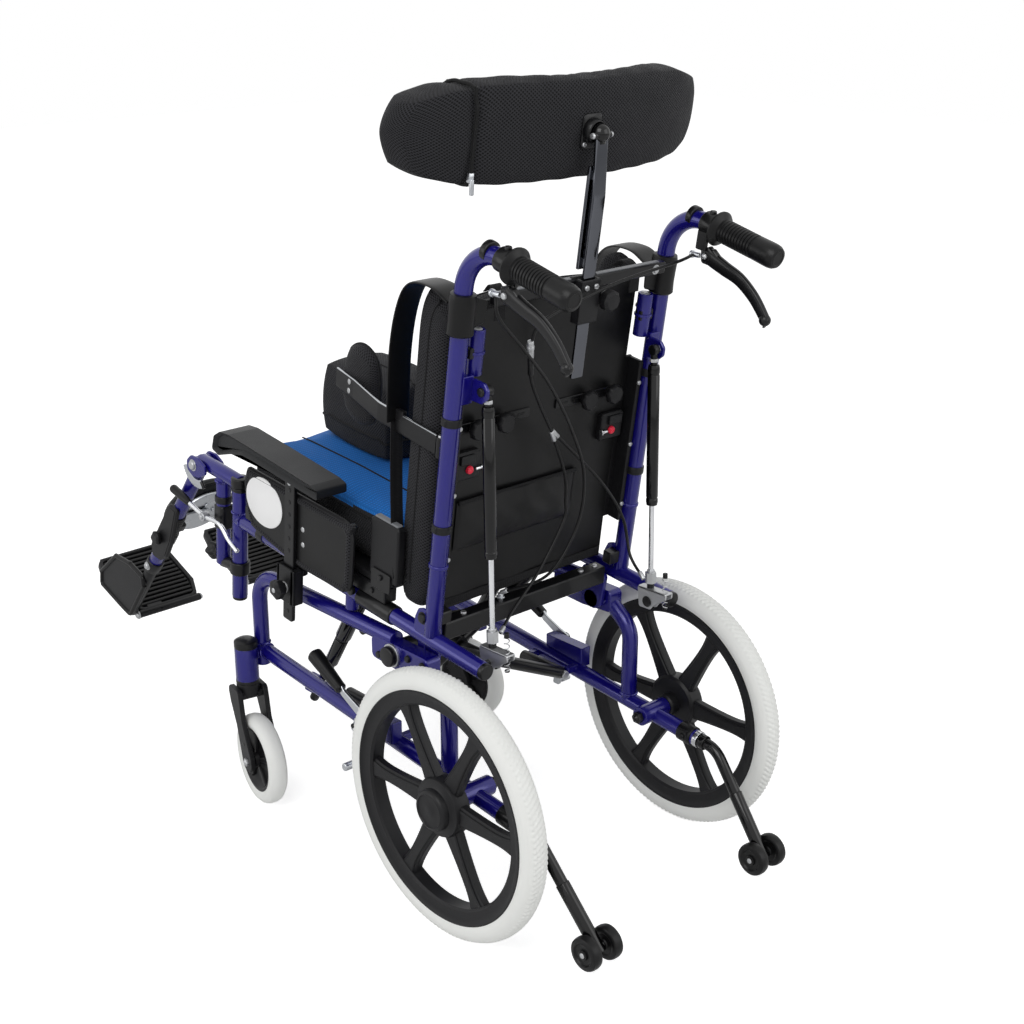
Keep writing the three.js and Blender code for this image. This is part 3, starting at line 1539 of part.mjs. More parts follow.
function cable(points, tail = []) {
  const curve = new THREE.CatmullRomCurve3(points, false, 'centripetal');
  const steps = Math.round(curve.getLength() / (cableDiameter * cableSteps));
  return routed([...curve.getSpacedPoints(steps), ...tail], cableDiameter, tubeSides);
}

function fromSeat(x, y, z) {
  return at(x, y, z).sub(back.position).applyEuler(new THREE.Euler(-back.rotation.x, 0, 0));
}

function reclineCable() {
  const nut = (side) => at(side * (springPivotX - gasNutDiameter / 2 - seatGap - cableDiameter), 0, 0);
  const lift = at(0, -gasNutRise * Math.sin(gasTurn), gasNutRise * Math.cos(gasTurn));
  const ends = [1, -1].map((side) => {
    const end = nut(side);
    return fromSeat(end.x, springPivotY + lift.y, railAboveTilt + lift.z);
  });
  const start = at(-cableAnchorX, brakeEndY - seatGap - cableDiameter / 2, brakeUp);
  return joined([
    cable([start, ...route(leadRight)]),
    bar(at(...leadJoint[0]), at(...leadJoint[1]), cableDiameter * connectorShare, tubeSides),
    cable(route(leadJoint)),
    cable([...route(leadLeft), ends[0]]),
    cable([...route(leadAcross), ends[1]]),
    new THREE.SphereGeometry(cableDiameter * thinShare, tubeSides, tubeSides - 2)
      .translate(...leadJoint[0]),
    new THREE.SphereGeometry(cableDiameter * thinShare, tubeSides, tubeSides - 2)
      .translate(...leadLeft[0]),
  ]);
}

function tiltCable() {
  const start = at(cableAnchorX, brakeEndY - seatGap - cableDiameter / 2, brakeUp);
  const end = fromSeat(rearBarDepth * 2, rearBarY, railAboveTilt + rearBarHeight / 2 + runningGap);
  const above = end.clone().add(at(0, 0, cableDiameter * 3));
  return cable([start, ...route(leadTilt), above], [end]);
}

piece('recline_cable', reclineCable(), rubber, back);
piece('tilt_cable', closed(tiltCable()), rubber, back);

// The chair stands with the middle of its outline over the origin

const bounds = new THREE.Box3().setFromObject(chair);
const middle = bounds.getCenter(new THREE.Vector3());
chair.position.set(-middle.x, -middle.y, -bounds.min.z);

export default chair;
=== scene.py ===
"""Tilt in space wheelchair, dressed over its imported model."""

import bpy
import numpy as np
from mathutils import Matrix


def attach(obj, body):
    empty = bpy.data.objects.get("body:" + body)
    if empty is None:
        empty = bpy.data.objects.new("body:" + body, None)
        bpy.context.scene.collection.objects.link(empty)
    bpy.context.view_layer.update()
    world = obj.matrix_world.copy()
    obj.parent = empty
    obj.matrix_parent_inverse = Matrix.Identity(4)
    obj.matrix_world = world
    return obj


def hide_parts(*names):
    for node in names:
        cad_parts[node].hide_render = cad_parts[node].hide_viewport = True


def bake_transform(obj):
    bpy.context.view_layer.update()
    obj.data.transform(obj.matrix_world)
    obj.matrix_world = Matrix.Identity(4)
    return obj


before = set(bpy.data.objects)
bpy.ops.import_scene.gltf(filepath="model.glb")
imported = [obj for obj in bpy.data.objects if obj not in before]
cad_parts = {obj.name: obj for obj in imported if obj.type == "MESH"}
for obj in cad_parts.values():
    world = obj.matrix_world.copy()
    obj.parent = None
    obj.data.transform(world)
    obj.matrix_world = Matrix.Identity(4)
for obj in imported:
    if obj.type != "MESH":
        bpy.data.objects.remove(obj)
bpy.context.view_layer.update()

bl_info = {
    "name": "Tilt in space wheelchair",
    "version": (1, 0, 0),
    "blender": (4, 5, 0),
    "location": "View3D > Sidebar > Wheelchair",
    "description": "Builds the visible pieces of a tilt in space wheelchair round its packed model",
    "category": "Object",
}

# Lengths are millimetres here and metres in the meshes

MM = 0.001
X, Y, Z = np.eye(3)
SIDE_NAMES = ("left", "right")
SHARP_ANGLE = np.radians(38)


def linear(red, green, blue):
    """Linear colour of an sRGB one given in 0..255."""
    return tuple((c / 255 / 12.92 if c <= 10 else ((c / 255 + 0.055) / 1.055) ** 2.4) for c in (red, green, blue))


# Places: each is a 4 by 4 matrix from a piece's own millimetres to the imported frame's


def placed(x, y, z, lean=0.0, yaw=0.0):
    """Matrix that leans by `lean` degrees about X, turns by `yaw` about Z and moves to (x, y, z)."""
    a, b = np.radians((lean, yaw))
    about_x = np.array([[1, 0, 0], [0, np.cos(a), -np.sin(a)], [0, np.sin(a), np.cos(a)]])
    about_z = np.array([[np.cos(b), -np.sin(b), 0], [np.sin(b), np.cos(b), 0], [0, 0, 1]])
    matrix = np.eye(4)
    matrix[:3, :3] = about_z @ about_x
    matrix[:3, 3] = (x, y, z)
    return matrix


# Places of the chair in the model, of the seat on its tilt pivot, of the back on its hinge, and of the left hanger,
# leg rest and caster
CHAIR = placed(0, 410.351, 0)
SEAT = CHAIR @ placed(0, -120, 365, -6)
BACK = SEAT @ placed(0, 21, 87, -2.5)
HANGER = SEAT @ placed(190, -457, 0)
LEG = SEAT @ placed(190, -567, 113, -32.4)
CASTER = CHAIR @ placed(220, -528, 0, 0, -10)


def unit(vector):
    """The vector over its own length, row by row."""
    vector = np.asarray(vector, float)
    return vector / np.maximum(np.linalg.norm(vector, axis=-1, keepdims=True), 1e-12)


def across(direction, origin=(0, 0, 0), up=Z):
    """Matrix whose Z runs along `direction` from `origin`, with Y as near to `up` as it can be."""
    z = unit(direction)
    x = unit(np.cross(up, z)) if abs(np.dot(unit(up), z)) < 0.99 else unit(np.cross(Y, z))
    matrix = np.eye(4)
    matrix[:3, 0], matrix[:3, 1], matrix[:3, 2] = x, np.cross(z, x), z
    matrix[:3, 3] = origin
    return matrix


def moved(points, matrix):
    """Each point p becomes M p."""
    return points @ matrix[:3, :3].T + matrix[:3, 3]


# Surfaces: each is (points, face blocks, corner coordinates of each block)


def grid(points, wrap=False, loop=False, size=None):
    """Quads between neighbours of an n by m array of points, closed across and along where asked.

    Corner coordinates are the running lengths along both ways, in millimetres.
    """
    n, m = points.shape[:2]
    rows = np.arange(n if loop else n - 1)
    cols = np.arange(m if wrap else m - 1)
    i, j = np.meshgrid(rows, cols, indexing="ij")
    i, j = i.ravel(), j.ravel()
    ni, nj = (i + 1) % n, (j + 1) % m
    quads = np.stack([i * m + j, ni * m + j, ni * m + nj, i * m + nj], 1)
    if size is None:
        along = np.linalg.norm(np.diff(points, axis=0), axis=2).max(axis=1)
        round_it = np.linalg.norm(np.diff(points, axis=1), axis=2).max(axis=0)
        u = np.concatenate([[0], np.cumsum(along), [0]])
        v = np.concatenate([[0], np.cumsum(round_it), [0]])
        if loop:
            u[n] = u[n - 1] + along[0]
        if wrap:
            v[m] = v[m - 1] + round_it[0]
    else:
        u = np.linspace(0, size[0], n + (1 if loop else 0))
        v = np.linspace(0, size[1], m + (1 if wrap else 0))
    corner = np.stack([
        np.stack([u[i], v[j]], 1), np.stack([u[i + 1], v[j]], 1),
        np.stack([u[i + 1], v[j + 1]], 1), np.stack([u[i], v[j + 1]], 1),
    ], 1)
    return points.reshape(-1, 3), [quads], [corner]


def capped(points, start=True, end=True, size=None):
    """A closed ring grid with a flat face over its first and last ring."""
    verts, faces, corners = grid(points, wrap=True, size=size)
    n, m = points.shape[:2]
    flat = np.stack([np.cos(np.linspace(0, 6.28, m)), np.sin(np.linspace(0, 6.28, m))], 1)[None] * 5
    if start:
        faces.append(np.arange(m)[None])
        corners.append(flat)
    if end:
        faces.append((n - 1) * m + np.arange(m)[::-1][None])
        corners.append(flat)
    return verts, faces, corners


def bent(points, radius, steps=7):
    """The line through the points, each inner corner an arc of that radius that touches both sides."""
    points = np.asarray(points, float)
    route = [points[0]]
    for before, corner, after in zip(points[:-2], points[1:-1], points[2:]):
        into, out = unit(corner - before), unit(after - corner)
        angle = np.arccos(np.clip(into @ out, -1, 1))
        if angle < 0.02:
            route.append(corner)
            continue
        room = min(np.linalg.norm(corner - before), np.linalg.norm(after - corner)) * 0.49
        setback = min(radius * np.tan(angle / 2), room)
        bend = setback / np.tan(angle / 2)
        side = unit(out - into * (into @ out))
        turn = np.linspace(0, angle, max(3, int(steps * angle / 0.8) + 2))[:, None]
        route.extend(corner - into * setback + into * bend * np.sin(turn) + side * bend * (1 - np.cos(turn)))
    route.append(points[-1])
    return np.array(route)


def smooth(points, count):
    """A Catmull-Rom curve through the points: p(t) = half of (2b + (c-a)t + (2a-5b+4c-d)t2 + (3b-a-3c+d)t3)."""
    points = np.asarray(points, float)
    whole = np.vstack([2 * points[0] - points[1], points, 2 * points[-1] - points[-2]])
    t = np.linspace(0, len(points) - 1 - 1e-9, count)
    k = t.astype(int)
    t = (t - k)[:, None]
    a, b, c, d = whole[k], whole[k + 1], whole[k + 2], whole[k + 3]
    return 0.5 * (2 * b + (c - a) * t + (2 * a - 5 * b + 4 * c - d) * t**2 + (3 * b - a - 3 * c + d) * t**3)


def section(width, height=None, sides=24, power=2.0):
    """A superellipse: |2x/width|^p + |2y/height|^p = 1."""
    height = width if height is None else height
    a = np.linspace(0, 2 * np.pi, sides, endpoint=False) + np.pi / sides
    c, s = np.cos(a), np.sin(a)
    return np.stack([
        width / 2 * np.sign(c) * np.abs(c) ** (2 / power), height / 2 * np.sign(s) * np.abs(s) ** (2 / power),
    ], 1)


def sweep(path, shape, up=X, scale=None, edge=0.0):
    """The section carried along the path: p(i, j) = path_i + s_i (x_j side_i + y_j top_i).

    side is up x tangent and top is tangent x side. With an edge, both ends are rounded by it.
    """
    path = np.asarray(path, float)
    scale = np.ones(len(path)) if scale is None else np.asarray(scale, float)
    if edge:
        reach = np.abs(shape).max()
        turn = np.linspace(0, np.pi / 2, 4)
        drop = 1 - edge / reach * (1 - np.sin(turn))
        into = edge * (1 - np.cos(turn))
        first, last = unit(path[1] - path[0]), unit(path[-1] - path[-2])
        head = path[0] + first * into[:, None]
        tail = (path[-1] - last * into[:, None])[::-1]
        path = np.vstack([head, path[1:-1], tail])
        scale = np.concatenate([scale[0] * drop, scale[1:-1], scale[-1] * drop[::-1]])
    tangent = unit(np.gradient(path, axis=0))
    side = unit(np.cross(np.asarray(up, float), tangent))
    top = np.cross(tangent, side)
    rings = path[:, None] + scale[:, None, None] * (
        shape[None, :, 0, None] * side[:, None] + shape[None, :, 1, None] * top[:, None]
    )
    return capped(rings[:, ::-1])


def tube(points, diameter, radius=40.0, sides=28, up=X, edge=0.0):
    """A round bar along straight runs and round bends."""
    return sweep(bent(points, radius), section(diameter, sides=sides), up=up, edge=edge)


def rod(start, end, diameter, sides=28, edge=0.6):
    """A straight round bar with rounded ends."""
    path = np.array([start, end], float)
    up = X if abs(unit(path[1] - path[0])[0]) < 0.9 else Z
    return sweep(path, section(diameter, sides=sides), up=up, edge=edge)


def outline_area(outline):
    """Signed area: half the sum of x_i y_j - x_j y_i over neighbours."""
    p = np.asarray(outline, float)
    q = np.roll(p, -1, 0)
    return 0.5 * np.sum(p[:, 0] * q[:, 1] - q[:, 0] * p[:, 1])


def bar(x, y, z, diameter, edge=0.6, sides=28):
    """A straight round bar along the one axis of the three that is given as (start, end)."""
    start, end = ([v[k] if isinstance(v, tuple) else v for v in (x, y, z)] for k in (0, 1))
    return rod(start, end, diameter, sides, edge)


def lathe(profile, matrix=None, segments=48, lobes=0, depth=0.0, closed=False):
    """A profile of (radius, height) turned about Z: p(i, a) = (r_i cos a, r_i sin a, h_i).

    With lobes the radius is also multiplied by 1 + depth cos(lobes a).
    """
    profile = np.asarray(profile, float)
    a = np.linspace(0, 2 * np.pi, segments, endpoint=False)
    wave = 1 + depth * np.cos(lobes * a)
    r = np.maximum(profile[:, 0], 0.02)[:, None] * wave
    h = np.repeat(profile[:, 1][:, None], segments, 1)
    rings = np.stack([r * np.cos(a), r * np.sin(a), h], 2)
    part = grid(rings, wrap=True, loop=True) if closed else capped(rings)
    verts, faces, corners = part
    if outline_area(profile) > 0:
        faces, corners = [f[:, ::-1] for f in faces], [c[:, ::-1] for c in corners]
    return (verts if matrix is None else moved(verts, matrix)), faces, corners


def inset(outline, distance):
    """Each corner of a counterclockwise outline moved in along the mean of its two edge normals."""
    before = unit(outline - np.roll(outline, 1, 0))
    after = unit(np.roll(outline, -1, 0) - outline)
    normal = unit(np.stack([-(before[:, 1] + after[:, 1]), before[:, 0] + after[:, 0]], 1))
    cosine = np.clip(np.abs(np.sum(normal * np.stack([-after[:, 1], after[:, 0]], 1), 1)), 0.5, 1)
    return outline + normal * (distance / cosine)[:, None]


def rounded(outline, radius, steps=5):
    """A closed outline with every corner an arc of that radius, at most half of the shorter side."""
    outline = np.asarray(outline, float)
    made = []
    for k in range(len(outline)):
        before, corner, after = outline[k - 1], outline[k], outline[(k + 1) % len(outline)]
        three = [np.append(p, 0) for p in ((before + corner) / 2, corner, (corner + after) / 2)]
        made.extend(bent(three, radius, steps)[1:-1, :2])
    return np.array(made)


def plate(outline, low, high, chamfer=0.8, matrix=None):
    """A flat outline between two heights along Z, with its edges chamfered."""
    outline = np.asarray(outline, float)
    if outline_area(outline) < 0:
        outline = outline[::-1]
    chamfer = min(chamfer, (high - low) / 2.5)
    small = inset(outline, chamfer)
    levels = [(small, low), (outline, low + chamfer), (outline, high - chamfer), (small, high)]
    rings = np.stack([np.column_stack([shape, np.full(len(shape), z)]) for shape, z in levels])
    verts, faces, corners = capped(rings)
    faces, corners = [f[:, ::-1] for f in faces], [c[:, ::-1] for c in corners]
    return (verts if matrix is None else moved(verts, matrix)), faces, corners


# A side plate's outline is (y, z) and its thickness runs along X
SIDE = np.array([[0, 0, 1, 0], [1, 0, 0, 0], [0, 1, 0, 0], [0, 0, 0, 1]], float)


def side_plate(outline, x, chamfer=0.8, radius=0.0):
    """A plate drawn in side view as (y, z) points, from x[0] to x[1]."""
    outline = rounded(outline, radius) if radius else np.asarray(outline, float)
    return plate(outline, min(x), max(x), chamfer, SIDE)


def block(x, y, z, radius=2.0, chamfer=0.8):
    """A box with rounded upright edges and chamfered rims."""
    x = sorted(x)
    outline = rounded([(x[0], y[0]), (x[1], y[0]), (x[1], y[1]), (x[0], y[1])], radius)
    return plate(outline, z[0], z[1], chamfer)


def bolt(place, direction, head=13.0, height=4.0, washer=0.0):
    """A round head with a hexagon socket in it, on a washer if its diameter is given."""
    r = head / 2
    profile = [(0, -2), (r, -2), (r, height * 0.55), (r * 0.86, height * 0.9), (r * 0.62, height)]
    matrix = across(direction, place)
    parts = [lathe(profile + [(r * 0.5, height)], matrix, 24)]
    socket = lathe([(r * 0.5, height * 0.98), (r * 0.42, height * 0.35), (0, height * 0.35)], matrix, 6)
    parts.append(socket)
    if washer:
        parts.append(lathe([(0, -1.5), (washer / 2, -1.5), (washer / 2, 0.6), (0, 0.6)], matrix, 32))
    return parts


def bolts(places, direction, head, height, washer=0.0):
    """The same bolt at several places."""
    return [part for place in places for part in bolt(place, direction, head, height, washer)]


def knob(profile, place, direction, lobes=5, depth=0.1, sides=60):
    """A turned knob with shallow finger lobes."""
    return lathe(profile, across(direction, place), sides, lobes, depth)


def nut(place, direction, width=16.0, height=7.0):
    """A hexagon nut with a dome behind it."""
    matrix = across(direction, place)
    body = lathe([(0, -1), (width / 2, -1), (width / 2, height * 0.8), (width / 2.4, height), (0, height)], matrix, 6)
    dome = lathe([(0, 0), (width * 0.32, 0), (width * 0.32, height), (width * 0.2, height * 1.35), (0, height * 1.45)],
                 matrix, 20)
    return [body, dome]


def pillow(size, counts, draw):
    """A box of half sizes a, b, c drawn towards an ellipsoid: x = a u sqrt(1 - d(v2 + w2)/2 + d2 v2 w2/3).

    u, v and w run over the faces of a cube; y and z follow by turning the letters.
    """
    n = counts
    blocks = []
    for axis in range(3):
        p, q = (axis + 1) % 3, (axis + 2) % 3
        for sign in (-1, 1):
            s, t = np.meshgrid(np.linspace(-1, 1, n[p] + 1), np.linspace(-1, 1, n[q] + 1), indexing="ij")
            face = np.empty(s.shape + (3,))
            face[..., axis], face[..., p], face[..., q] = sign, s, t
            if sign < 0:
                face = face[:, ::-1]
            blocks.append(grid(face, size=(size[p], size[q])))
    verts, faces, corners = merged(blocks)
    u, v, w = verts.T
    pull = lambda a, b, c: a * np.sqrt(1 - draw * (b * b + c * c) / 2 + draw * draw * b * b * c * c / 3)
    shape = np.stack([pull(u, v, w), pull(v, w, u), pull(w, u, v)], 1) * np.asarray(size) / 2
    return shape, faces, corners


def merged(blocks):
    """Several surfaces as one, with points that agree to a thousandth made one."""
    points = np.vstack([b[0] for b in blocks])
    key = np.round(points, 3) + 0.0
    _, first, inverse = np.unique(key, axis=0, return_index=True, return_inverse=True)
    inverse = inverse.ravel()
    shift = np.cumsum([0] + [len(b[0]) for b in blocks[:-1]])
    faces = [inverse[f + s] for b, s in zip(blocks, shift) for f in b[1]]
    corners = [c for b in blocks for c in b[2]]
    return points[first], faces, corners


def outward(verts, faces, corners):
    """The faces, turned round if the volume that they enclose, the sum of a . (b x c) / 6, is negative."""
    centre = verts.mean(axis=0)
    volume = 0.0
    for block_faces in faces:
        a = verts[block_faces[:, 0]] - centre
        for k in range(1, block_faces.shape[1] - 1):
            b, c = verts[block_faces[:, k]] - centre, verts[block_faces[:, k + 1]] - centre
            volume += np.sum(a * np.cross(b, c))
    if volume >= 0:
        return faces, corners
    return [f[:, ::-1] for f in faces], [c[:, ::-1] for c in corners]


def linked(name, data):
    """A new object of that data in the scene."""
    obj = bpy.data.objects.new(name, data)
    bpy.context.scene.collection.objects.link(obj)
    return obj


class Piece:
    """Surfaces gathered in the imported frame, each with a material, for one object."""

    def __init__(self, matrix=CHAIR):
        self.matrix = matrix
        self.parts = []
        self.finishes = []

    def add(self, finish, *parts, matrix=None):
        if finish not in self.finishes:
            self.finishes.append(finish)
        for part in parts:
            for one in (part if isinstance(part, list) else [part]):
                verts = moved(np.asarray(one[0], float), self.matrix if matrix is None else matrix)
                faces, corners = outward(verts, one[1], one[2])
                self.parts.append((verts, faces, corners, self.finishes.index(finish)))
        return self

    def object(self, name, body, slot, replaces=(), mirror=False, smooth_all=False):
        """One mesh object from all parts, riding on its body. Mirrored, x is negated and faces are turned."""
        shift, verts, loops, counts, marks, corners = 0, [], [], [], [], []
        for points, faces, uvs, mark in self.parts:
            for f, c in zip(faces, uvs):
                f = f + shift
                if mirror:
                    f, c = f[:, ::-1], c[:, ::-1]
                loops.append(f.ravel())
                counts.append(np.full(len(f), f.shape[1]))
                marks.append(np.full(len(f), mark))
                corners.append(c.reshape(-1, 2))
            verts.append(points * (-1, 1, 1) if mirror else points)
            shift += len(points)
        verts, loops = np.vstack(verts) * MM, np.concatenate(loops)
        counts, marks = np.concatenate(counts), np.concatenate(marks)
        mesh = bpy.data.meshes.new(name)
        mesh.vertices.add(len(verts))
        mesh.vertices.foreach_set("co", verts.ravel())
        mesh.loops.add(len(loops))
        mesh.loops.foreach_set("vertex_index", loops.astype(np.int32))
        mesh.polygons.add(len(counts))
        mesh.polygons.foreach_set("loop_start", np.concatenate([[0], np.cumsum(counts)[:-1]]).astype(np.int32))
        mesh.polygons.foreach_set("material_index", marks.astype(np.int32))
        mesh.update(calc_edges=True)
        layer = mesh.uv_layers.new(name="cloth")
        layer.data.foreach_set("uv", (np.concatenate(corners) * MM).ravel())
        mesh.polygons.foreach_set("use_smooth", np.ones(len(counts), bool))
        if not smooth_all:
            mesh.set_sharp_from_angle(angle=SHARP_ANGLE)
        for finish in self.finishes:
            mesh.materials.append(material(finish))
        obj = linked(name, mesh)
        if replaces:
            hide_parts(*replaces)
        if body:
            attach(obj, body)
        return obj


def both(name, piece, body, slot, nodes=(), smooth_all=False):
    """The left piece and its mirror image, riding on bodies of their own side unless the body is shared."""
    made = []
    for side in SIDE_NAMES:
        own = body.format(side)
        stands_for = [n.format(side) for n in nodes]
        made.append(piece.object(f"{name}_{side}", own, slot, stands_for, side == "right", smooth_all))
    return made


# Settings that a user would change


def length(name, description, millimetres):
    return bpy.props.FloatProperty(name=name, description=description, default=millimetres * MM, unit="LENGTH")


def paint_choice(name, description, *srgb):
    return bpy.props.FloatVectorProperty(
        name=name, description=description, subtype="COLOR", size=3, default=linear(*srgb))


class WheelchairSizes(bpy.types.PropertyGroup):
    """Sizes of the visible pieces."""

    tube: length("Frame tube", "Outer diameter of the frame tubes", 25.4)
    grip: length("Grip", "Outer diameter of the push grips", 34)
    grooves: bpy.props.IntProperty(name="Grip grooves", description="Grooves round each push grip", default=11)
    tread: bpy.props.IntProperty(name="Tread blocks", description="Tread blocks round each rear tyre", default=150)
    cable: length("Cable", "Diameter of the release cables", 4.6)
    mesh_pitch: length("Mesh pitch", "Distance between holes of the spacer cloth", 5)


class WheelchairLooks(bpy.types.PropertyGroup):
    """Colours of the finishes."""

    paint: paint_choice("Frame paint", "Colour of the painted tubes", 18, 12, 116)
    cloth: paint_choice("Spacer cloth", "Colour of the black mesh cloth", 46, 46, 49)
    seat_cloth: paint_choice("Seat cloth", "Colour of the blue mesh cloth", 34, 122, 212)
    tyre: paint_choice("Tyres", "Colour of the pale tyres", 232, 233, 230)
    plastic: paint_choice("Moulded black", "Colour of black plastic and rubber", 22, 22, 24)


def sizes():
    return bpy.context.scene.wheelchair_sizes


def looks():
    return bpy.context.scene.wheelchair_looks


# Shared effects, as node groups that put out values and normals


def group_named(name, build, inputs, outputs):
    """The node group of that name, made on first use: build(group, start, end) draws it between its end nodes."""
    if name not in bpy.data.node_groups:
        group = bpy.data.node_groups.new(name, "ShaderNodeTree")
        for label, value in inputs.items():
            socket = group.interface.new_socket(name=label, in_out="INPUT", socket_type="NodeSocketFloat")
            socket.default_value = value
        for label in outputs:
            kind = "NodeSocketVector" if label == "Normal" else "NodeSocketFloat"
            group.interface.new_socket(name=label, in_out="OUTPUT", socket_type=kind)
        build(group, group.nodes.new("NodeGroupInput").outputs, group.nodes.new("NodeGroupOutput"))
    return bpy.data.node_groups[name]


def fill(tree, node, values):
    """Gives a node's inputs their values: a socket is linked and a number or colour is set."""
    for label, value in values.items():
        if isinstance(value, bpy.types.NodeSocket):
            tree.links.new(value, node.inputs[label])
        else:
            node.inputs[label].default_value = value
    return node


def new_node(tree, kind, values):
    """A new shader node with its inputs filled."""
    return fill(tree, tree.nodes.new("ShaderNode" + kind), values)


def math_node(tree, operation, *values, clamp=False):
    """A Math node's output, from sockets or numbers."""
    node = new_node(tree, "Math", dict(enumerate(values)))
    node.operation, node.use_clamp = operation, clamp
    return node.outputs[0]


def fine_grain(group, start, end):
    """Value = colour change from large noise; Rough = roughness change; Normal = fine bump."""
    place = new_node(group, "TexCoord", {}).outputs["Object"]
    fine = new_node(group, "TexNoise", {"Vector": place, "Scale": start["Scale"]})
    wide = new_node(group, "TexNoise", {"Vector": place, "Scale": 14, "Detail": 3})
    centred = math_node(group, "SUBTRACT", wide.outputs["Fac"], 0.5)
    change = math_node(group, "MULTIPLY", centred, start["Patches"])
    bump = new_node(group, "Bump", {"Distance": 0.0003, "Strength": start["Bump"], "Height": fine.outputs["Fac"]})
    fill(group, end, {"Value": math_node(group, "ADD", change, 1.0), "Rough": change, "Normal": bump.outputs[0]})


def cloth_axes(group):
    """Both ways along the cloth's own UV map, in metres."""
    uv = new_node(group, "UVMap", {})
    uv.uv_map = "cloth"
    return new_node(group, "SeparateXYZ", {0: uv.outputs["UV"]}).outputs


def open_mesh(group, start, end):
    """Staggered holes: Hole = 1 within the hole size of a point of either of two offset lattices."""
    across_it, along_it = cloth_axes(group)[:2]
    tall = math_node(group, "MULTIPLY", start["Pitch"], start["Stretch"])
    cells = math_node(group, "DIVIDE", across_it, start["Pitch"]), math_node(group, "DIVIDE", along_it, tall)
    near = []
    for offset in (0.0, 0.5):
        squares = []
        for value in cells:
            whole = math_node(group, "FRACT", math_node(group, "ADD", value, offset))
            centred = math_node(group, "SUBTRACT", whole, 0.5)
            squares.append(math_node(group, "MULTIPLY", centred, centred))
        near.append(math_node(group, "SQRT", math_node(group, "ADD", *squares)))
    ramp = new_node(group, "MapRange", {
        "Value": math_node(group, "MINIMUM", *near), "From Min": 0.1, "From Max": start["Hole size"],
        "To Min": 1.0, "To Max": 0.0})
    ramp.interpolation_type = "SMOOTHSTEP"
    hole = ramp.outputs[0]
    noise = new_node(group, "TexNoise", {"Vector": new_node(group, "TexCoord", {}).outputs["Object"], "Scale": 30})
    shade = math_node(group, "ADD", math_node(group, "MULTIPLY", noise.outputs["Fac"], 0.5), 0.75)
    fill(group, end, {"Hole": hole, "Height": math_node(group, "SUBTRACT", 1.0, hole), "Thread": shade})


def woven_ribs(group, start, end):
    """Ribs across both ways of the cloth: each wave is half of 1 + cos(2 pi share u / pitch)."""
    waves = []
    for axis, share in zip(cloth_axes(group), (1.0, 0.6)):
        turns = math_node(group, "DIVIDE", axis, start["Pitch"])
        angle = math_node(group, "MULTIPLY", turns, 6.2832 * share)
        waves.append(math_node(group, "MULTIPLY_ADD", math_node(group, "COSINE", angle), 0.5, 0.5))
    fill(group, end, {"Height": waves[0], "Weave": math_node(group, "MULTIPLY", *waves)})


SHARED = {
    "Fine grain": (fine_grain, {"Scale": 900.0, "Bump": 0.1, "Patches": 0.1}, ("Value", "Rough", "Normal")),
    "Open mesh": (open_mesh, {"Pitch": 0.0036, "Stretch": 1.5, "Hole size": 0.3}, ("Hole", "Height", "Thread")),
    "Ribs": (woven_ribs, {"Pitch": 0.002}, ("Height", "Weave")),
}


def shared(tree, name, **values):
    """A shared effect placed in a material with its own values. Returns its outputs."""
    node = tree.nodes.new("ShaderNodeGroup")
    node.node_tree = group_named(name, *SHARED[name])
    return fill(tree, node, {label.replace("_", " "): value for label, value in values.items()}).outputs


def tinted(tree, colour, factor, darker):
    """The colour, moved towards a darker one of itself where the factor rises."""
    mix = tree.nodes.new("ShaderNodeMix")
    mix.data_type = "RGBA"
    fill(tree, mix, {"A": (*colour, 1), "B": (*[c * darker for c in colour], 1), "Factor": factor})
    return mix.outputs["Result"]


def bump_normal(tree, height, distance, strength):
    """The normal of a bump of that height map."""
    return new_node(tree, "Bump", {"Distance": distance, "Strength": strength, "Height": height}).outputs["Normal"]


# A finish's colour is its own, or the name of one of the looks that a user can change
# name: colour, roughness, metallic, coat, grain scale, grain bump, patches
PLAIN = {
    "paint": ("paint", 0.24, 0.25, 0.35, 2600, 0.06, 0.35),
    "moulded black": ("plastic", 0.42, 0.0, 0.0, 1300, 0.22, 0.4),
    "pale tyre": ("tyre", 0.55, 0.0, 0.0, 900, 0.15, 0.12),
    "black metal": (linear(13, 13, 15), 0.34, 0.0, 0.15, 500, 0.03, 0.3),
    "black gloss": (linear(6, 6, 7), 0.16, 0.0, 0.3, 500, 0.02, 0.3),
    "chrome": (linear(205, 208, 214), 0.1, 1.0, 0.0, 300, 0.02, 0.3),
    "dark chrome": (linear(98, 100, 106), 0.12, 1.0, 0.0, 300, 0.02, 0.5),
    "zinc": (linear(186, 192, 196), 0.34, 1.0, 0.0, 700, 0.12, 0.6),
    "alloy": (linear(196, 199, 203), 0.3, 1.0, 0.0, 700, 0.08, 0.5),
    "black rubber": (linear(15, 15, 16), 0.36, 0.0, 0.0, 1600, 0.25, 0.4),
    "pad skin": (linear(28, 29, 31), 0.42, 0.0, 0.0, 1500, 0.35, 0.4),
    "red button": (linear(226, 40, 66), 0.3, 0.0, 0.3, 600, 0.05, 0.2),
    "pale disc": (linear(238, 238, 238), 0.4, 0.0, 0.0, 600, 0.04, 0.1),
    "grey plastic": (linear(120, 122, 126), 0.4, 0.0, 0.0, 900, 0.2, 0.3),
    "vinyl": (linear(14, 14, 15), 0.38, 0.0, 0.0, 700, 0.3, 0.5),
}
# name: colour, share of the mesh pitch
MESHES = {"black mesh": ("cloth", 1.0), "blue mesh": ("seat_cloth", 0.66)}
# name: colour, pitch of the ribs in metres, darkness of the painted shade in the grooves
RIBBED = {
    "seat ribs": ("seat_cloth", 0.0042, 0.55),
    "zip tape": (linear(30, 30, 31), 0.0018, 0.4),
    "webbing": (linear(30, 30, 32), 0.0022, 0.45),
}


